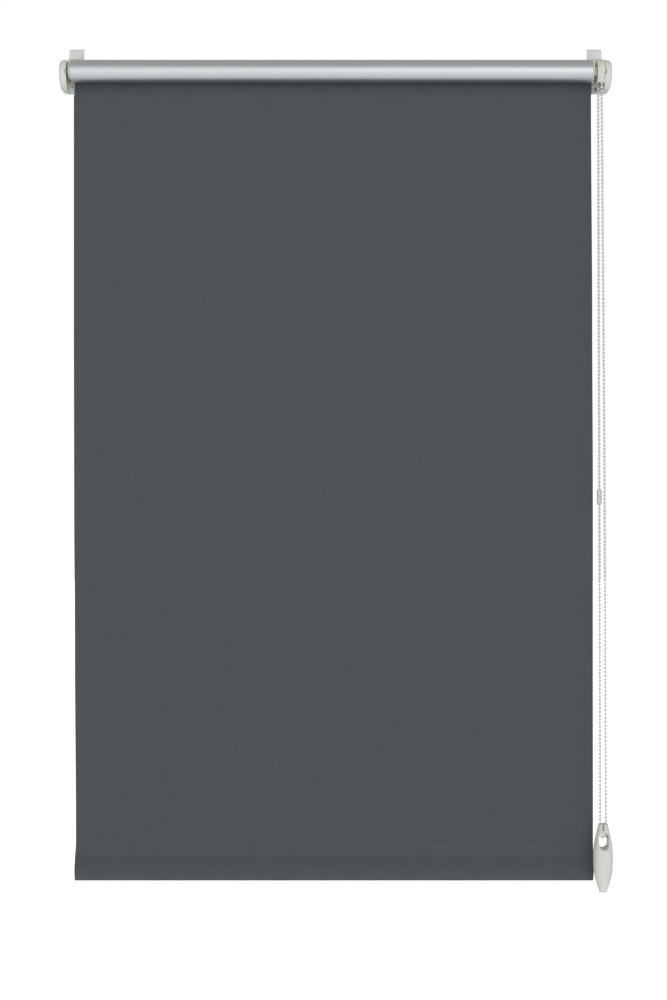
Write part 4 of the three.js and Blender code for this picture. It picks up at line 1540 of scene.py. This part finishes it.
@dataclass
class ChainDrive:
    """The clutch: chain wheel, wrap springs and plug on a fixed hub, under a guard."""

    inner: float = 288.3
    outer: float = 296.1
    radius: float = 12.3
    drop: float = 14.6
    mouth: float = 10.65
    wall: float = 1.3

    def outline(self, margin: float, drop: float) -> list[Flat]:
        """The guard's outline about the roller's axis: round, with a mouth below.

        Args:
            margin: how far inside the guard it lies.
            drop: how far below the axis it ends.

        Returns:
            The outline in Y and Z.
        """
        r, mouth = self.radius - margin, self.mouth - margin
        start = math.degrees(math.acos(mouth / r))
        foot = [(AXIS_Y - mouth, AXIS_Z - drop), (AXIS_Y + mouth, AXIS_Z - drop)]
        return foot + arc((AXIS_Y, AXIS_Z), r, -start, 180 + start, 56)

    def guard(self) -> Part:
        """Guard: a cup over the wheel with a raised arch on its room side.

        Returns:
            The guard.
        """
        shell = prism("guard_cup", self.outline(0, self.drop), (self.inner, self.outer))
        inside = self.outline(self.wall, self.drop + 1)
        hollow = prism("hollow", inside, (self.inner + self.wall, self.outer + 1))
        soften(cut(shell, hollow, rod(5.6, (280, 300), Axis.X, ROLLER_AXIS)), 0.45, 3, 50)
        return joined(shell, self.arch())

    def arch(self) -> Part:
        """The raised arch on the guard's room side.

        Returns:
            The arch, to be fused onto the guard.
        """
        middle, half, rise, foot = (self.inner + self.outer) / 2, 2.7, 0.4, -13.4
        path = [(middle - half, foot), *arc((middle, -5.9), half, 180, 0, 16), (middle + half, foot)]
        sides = 8
        rings = []
        for i, (x, z) in enumerate(path):
            before, after = path[max(0, i - 1)], path[min(len(path) - 1, i + 1)]
            turn = math.atan2(after[1] - before[1], after[0] - before[0])
            ring = []
            for k in range(sides):
                angle = math.tau * k / sides
                out = rise * math.cos(angle)
                side = rise * math.sin(angle)
                y = AXIS_Y - max(self.mouth, math.sqrt(max(0, self.radius ** 2 - z * z))) + 0.1 - out
                ring.append((x - side * math.sin(turn), y, AXIS_Z + z + side * math.cos(turn)))
            rings.append(ring)
        return lofted("arch", rings)

    def lid(self) -> Part:
        """Lid that closes the guard's outboard side."""
        lid = prism("guard_cap", self.outline(self.wall + 0.2, self.drop), (294.9, self.outer))
        return soften(cut(lid, rod(4.3, (280, 300), Axis.X, ROLLER_AXIS)), 0.15, 2, 50)

    def plug(self) -> Part:
        """Drive plug, pressed into the tube, with a narrow flange over its end.

        Returns:
            The plug.
        """
        bore, cavity, plug, rim, start, end = 3.8, 5.5, 11.4, 12.5, 256.8, 284.4
        outside = [(start, bore), (start, plug - 0.4), (257.2, plug), (283.2, plug), (283.2, rim - 0.1)]
        outside += [(283.3, rim), (284.2, rim), (end, rim - 0.2)]
        inside = [(end, cavity), (261, cavity), (261, bore), (start, bore)]
        return turned("drive_end_plug", outside + inside, Axis.X, ROLLER_AXIS, 96)

    def wheel(self) -> Part:
        """Chain wheel: a grooved rim with a pocket for each bead, on the sleeve that turns the plug.

        Returns:
            The wheel.
        """
        start, inner, outer = 279.0, 290.1, 294.5
        bore, sleeve, flange, groove = 3.8, 5.3, 9.2, 6.4
        pocket = BEAD / 2 + 0.3
        half, wide, lip = 0.8, 1.6, flange - 0.8
        profile = [(start, bore), (start, sleeve), (inner, sleeve), (inner, flange), (CHAIN_X - wide, flange)]
        profile += [(CHAIN_X - half, lip), (CHAIN_X - half, groove)]
        profile += [(CHAIN_X + half, groove), (CHAIN_X + half, lip)]
        profile += [(CHAIN_X + wide, flange), (outer, flange), (outer, bore), (start, bore)]
        rim = soften(turned("pocket_wheel", profile, Axis.X, ROLLER_AXIS, 66), 0.1, 2, 50)
        ball = [(CHAIN_X + a, b) for a, b in arc((0, 0), pocket, 180, 0, 14)]
        for y, z in arc((AXIS_Y, AXIS_Z), WHEEL_RADIUS, 0, 360, POCKETS)[:-1]:
            cut(rim, turned("pocket", ball, Axis.X, (0, y, z), 24))
        return rim

    def build(self) -> None:
        """Make the drive."""
        settle(self.guard(), MOULDED_ACETAL, Body.BRACKETS, "chain_guard")
        settle(self.lid(), MOULDED_ACETAL, Body.BRACKETS, "guard_lid")
        settle(self.plug(), MOULDED_ACETAL, Body.ROLLER, "drive_plug")
        settle(self.wheel(), MOULDED_ABS, Body.ROLLER, "chain_wheel")
        dress("drive_hub", MOULDED_ABS, 0.2)
        for node in ("hub_screw", "wrap_spring_inner", "wrap_spring_outer"):
            dress(node, ZINC_PLATED_STEEL)


# ---- Curtain ----

def cloth(
    name: str, columns: int, rows: int, surface: Callable[[float, float], Point], closed: bool = False
) -> Part:
    """Make cloth of real thickness from its middle surface.

    Args:
        name: the object's name.
        columns: steps along u.
        rows: steps along v.
        surface: the point in millimetres at (u, v), each from 0 to 1.
        closed: whether v runs round and meets itself.

    Returns:
        The cloth as a closed solid.
    """
    lines = rows if closed else rows + 1
    points = [surface(c / columns, r / rows) for c in range(columns + 1) for r in range(lines)]
    faces = []
    for c in range(columns):
        for r in range(rows):
            after = (r + 1) % lines
            faces.append([c * lines + r, (c + 1) * lines + r, (c + 1) * lines + after, c * lines + after])
    part = make_mesh(name, points, faces)
    thick = part.modifiers.new("thickness", "SOLIDIFY")
    thick.thickness = FABRIC * MM
    thick.offset = 0
    return apply_modifiers(part)


def eased(knots: Sequence[Flat], t: float) -> float:
    """Value at t, easing from knot to knot of (place, value) in rising order.

    Args:
        knots: the places and their values.
        t: the place to read.

    Returns:
        The value, held level beyond both ends.
    """
    if t <= knots[0][0]:
        return knots[0][1]
    for (a, low), (b, high) in zip(knots, knots[1:]):
        if t <= b:
            share = (t - a) / (b - a)
            return low + (high - low) * share * share * (3 - 2 * share)
    return knots[-1][1]


def rounded_loop(knots: Sequence[Flat], count: int) -> list[Flat]:
    """Points evenly along a smooth closed curve through knots.

    Args:
        knots: the points that the curve passes through.
        count: how many points to return.

    Returns:
        The points.
    """
    fine: list[Flat] = []
    total = len(knots)
    for i in range(total):
        p0, p1, p2, p3 = (knots[(i + k) % total] for k in (-1, 0, 1, 2))
        span = math.dist(p1, p2)
        m1 = [(p2[k] - p0[k]) * span / (math.dist(p0, p1) + span) for k in (0, 1)]
        m2 = [(p3[k] - p1[k]) * span / (math.dist(p2, p3) + span) for k in (0, 1)]
        for step in range(20):
            t = step / 20
            h = (2 * t ** 3 - 3 * t * t + 1, t ** 3 - 2 * t * t + t, 3 * t * t - 2 * t ** 3, t ** 3 - t * t)
            fine.append(tuple(h[0] * p1[k] + h[1] * m1[k] + h[2] * p2[k] + h[3] * m2[k] for k in (0, 1)))
    lengths = [0.0]
    for a, b in zip(fine, fine[1:] + fine[:1]):
        lengths.append(lengths[-1] + math.dist(a, b))
    found = []
    k = 0
    for i in range(count):
        goal = lengths[-1] * i / count
        while lengths[k + 1] < goal:
            k += 1
        share = (goal - lengths[k]) / (lengths[k + 1] - lengths[k])
        a, b = fine[k], fine[(k + 1) % len(fine)]
        found.append((a[0] + (b[0] - a[0]) * share, a[1] + (b[1] - a[1]) * share))
    return found


@dataclass
class Curtain:
    """The cloth from the tube to the hem, with the bar in its pocket."""

    sheet_y: float = AXIS_Y + FABRIC_RADIUS + FABRIC / 2
    wrap_degrees: float = 80.0
    bar_y: float = -6.6
    bar_z: float = -915.0
    bar_half: Flat = (1.8, 7.6)
    lift: float = 830.0

    def left(self, z: float) -> float:
        """X of the cloth's left edge at a height: it hangs a little towards the chain lower down."""
        knots = [(HEM_TOP, 2.3), (-650, 1.1), (-500, 0.35), (-300, 0.0), (-48, 0.0), (-46, 1.2)]
        return FABRIC_LEFT + eased(knots, z) - 0.2

    def right(self, z: float) -> float:
        """X of the cloth's right edge at a height."""
        return FABRIC_RIGHT + eased([(HEM_TOP, 1.65), (-480, 1.5), (-300, 0.8), (-50, -0.6)], z)

    def sheet(self) -> Part:
        """The hanging cloth, flat but for a slow ripple.

        Returns:
            The cloth.
        """
        top, bottom = AXIS_Z, HEM_TOP - 0.3

        def surface(u: float, v: float) -> Point:
            """Middle of the cloth at a share of its width and its height.

            Args:
                u: share of the width.
                v: share of the height, from the top.

            Returns:
                The point.
            """
            z = top + (bottom - top) * v
            x = self.left(z) + (self.right(z) - self.left(z)) * u
            calm = math.sin(math.pi * v)
            ripple = noise.noise(Vector((x * 0.009, z * 0.0035, 3.1))) * 1.1 * calm
            return x, self.sheet_y + ripple, z

        return cloth("hanging_cloth", 72, 170, surface)

    def wrap(self) -> Part:
        """The turn of cloth that lies on the tube, from its rear to the tape.

        Returns:
            The cloth.
        """
        middle = FABRIC_RADIUS + FABRIC / 2
        tail = 0.8

        def surface(u: float, v: float) -> Point:
            """Middle of the cloth, up the back of the tube and over it.

            Args:
                u: share of the width.
                v: share of the way up the tube.

            Returns:
                The point.
            """
            x = self.left(AXIS_Z) + (self.right(AXIS_Z) - self.left(AXIS_Z)) * u
            reach = v * (self.wrap_degrees + 4) - 4
            if reach < 0:
                return x, AXIS_Y + middle, AXIS_Z + reach / 4 * tail
            angle = math.radians(reach)
            return x, AXIS_Y + middle * math.cos(angle), AXIS_Z + middle * math.sin(angle)

        return cloth("wound_cloth", 24, 42, surface)

    def pocket(self) -> Part:
        """The welded hem pocket: flat at its seam, drawn in above the bar, full over it.

        Returns:
            The cloth.
        """
        front = [(-6.95, -880.5), (-6.95, -885), (-6.95, -889.5), (-7.1, -893), (-7.7, -897), (-8.85, -901),
                 (-10.1, -904.8), (-11.05, -908.6), (-11.45, -912.6), (-11.25, -916.6), (-10.4, -920),
                 (-8.9, -922.7)]
        back = [(-6.5, -924.1), (-5.2, -922.8), (-4.5, -920), (-4.3, -916), (-4.5, -911), (-4.95, -906),
                (-5.35, -901), (-5.7, -896), (-6.05, -890), (-6.3, -885), (-6.35, -880.5)]
        count, flat = 84, front[0][0]
        loop = rounded_loop(front + back, count)

        def surface(u: float, v: float) -> Point:
            """Middle of the cloth, down the front, under the bar and up the back.

            Args:
                u: share of the width.
                v: share of the way round.

            Returns:
                The point.
            """
            y, z = loop[round(v * count) % count]
            left = self.left(z) + eased([(-901, -0.95), (HEM_TOP, 0.0)], z)
            right = self.right(z) + eased([(-901, 0.2), (HEM_TOP, 0.0)], z)
            x = left + (right - left) * u
            near = min(1.0, max(-0.4, (self.bar_y - y) / 0.8))
            edge = math.exp(-(x - left) / 55) + 0.35 * math.exp(-(right - x) / 40) + 0.1
            full = math.sin(math.pi * min(1.0, max(0.0, (HEM_TOP - z) / 40)))
            pucker = noise.noise(Vector((x * 0.11, z * 0.05, 7.7))) * 0.45 * edge * full
            calm = 0.45 * math.exp((x - right) / 12)
            return x, y + calm * max(0.0, flat - y) + pucker * near, z

        return cloth("hem_cloth", 220, count, surface, closed=True)

    def cap(self, name: str, span: Span) -> Part:
        """End cap of the bottom bar: an oval button with a rounded face.

        Args:
            name: the object's name.
            span: where it starts and ends along X.

        Returns:
            The cap.
        """
        depth, height = (half + 0.1 for half in self.bar_half)
        ring = [(self.bar_y + depth * math.cos(a), self.bar_z + height * math.sin(a))
                for a in (math.tau * i / 56 for i in range(56))]
        part = prism(name, ring, span)
        return soften(part, 0.5, 4, 50)

    def build(self) -> None:
        """Make the cloth, the hem and its bar."""
        wrap = settle(self.wrap(), WOVEN_POLYESTER, Body.ROLLER, "fabric_wrap", blended=True)
        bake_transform(wrap)
        sheet = settle(self.sheet(), WOVEN_POLYESTER, Body.BRACKETS, "fabric_sheet")
        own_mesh(sheet)
        pocket = settle(self.pocket(), WOVEN_POLYESTER, Body.HEM, "hem_pocket")
        dress("bottom_bar", ANODISED_ALUMINIUM)
        left = self.cap("bar_end_left", (-289.1, -286.9))
        settle(left, MOULDED_ABS, Body.HEM, "bar_cap_left")
        right = self.cap("bar_end_right", (280.9, 283.1))
        settle(right, MOULDED_ABS, Body.HEM, "bar_cap_right")


def main() -> None:
    """Build the studio, then the blind piece by piece."""
    logging.basicConfig(level=logging.INFO, format="%(message)s")
    Studio().build()
    on_chain = ChainWeight().build()
    BeadChain().build(on_chain)
    for side in Side:
        Clamp(side).build()
    Roller().build()
    ChainDrive().build()
    Curtain().build()
    bpy.context.view_layer.update()


if __name__ == "__main__":
    main()
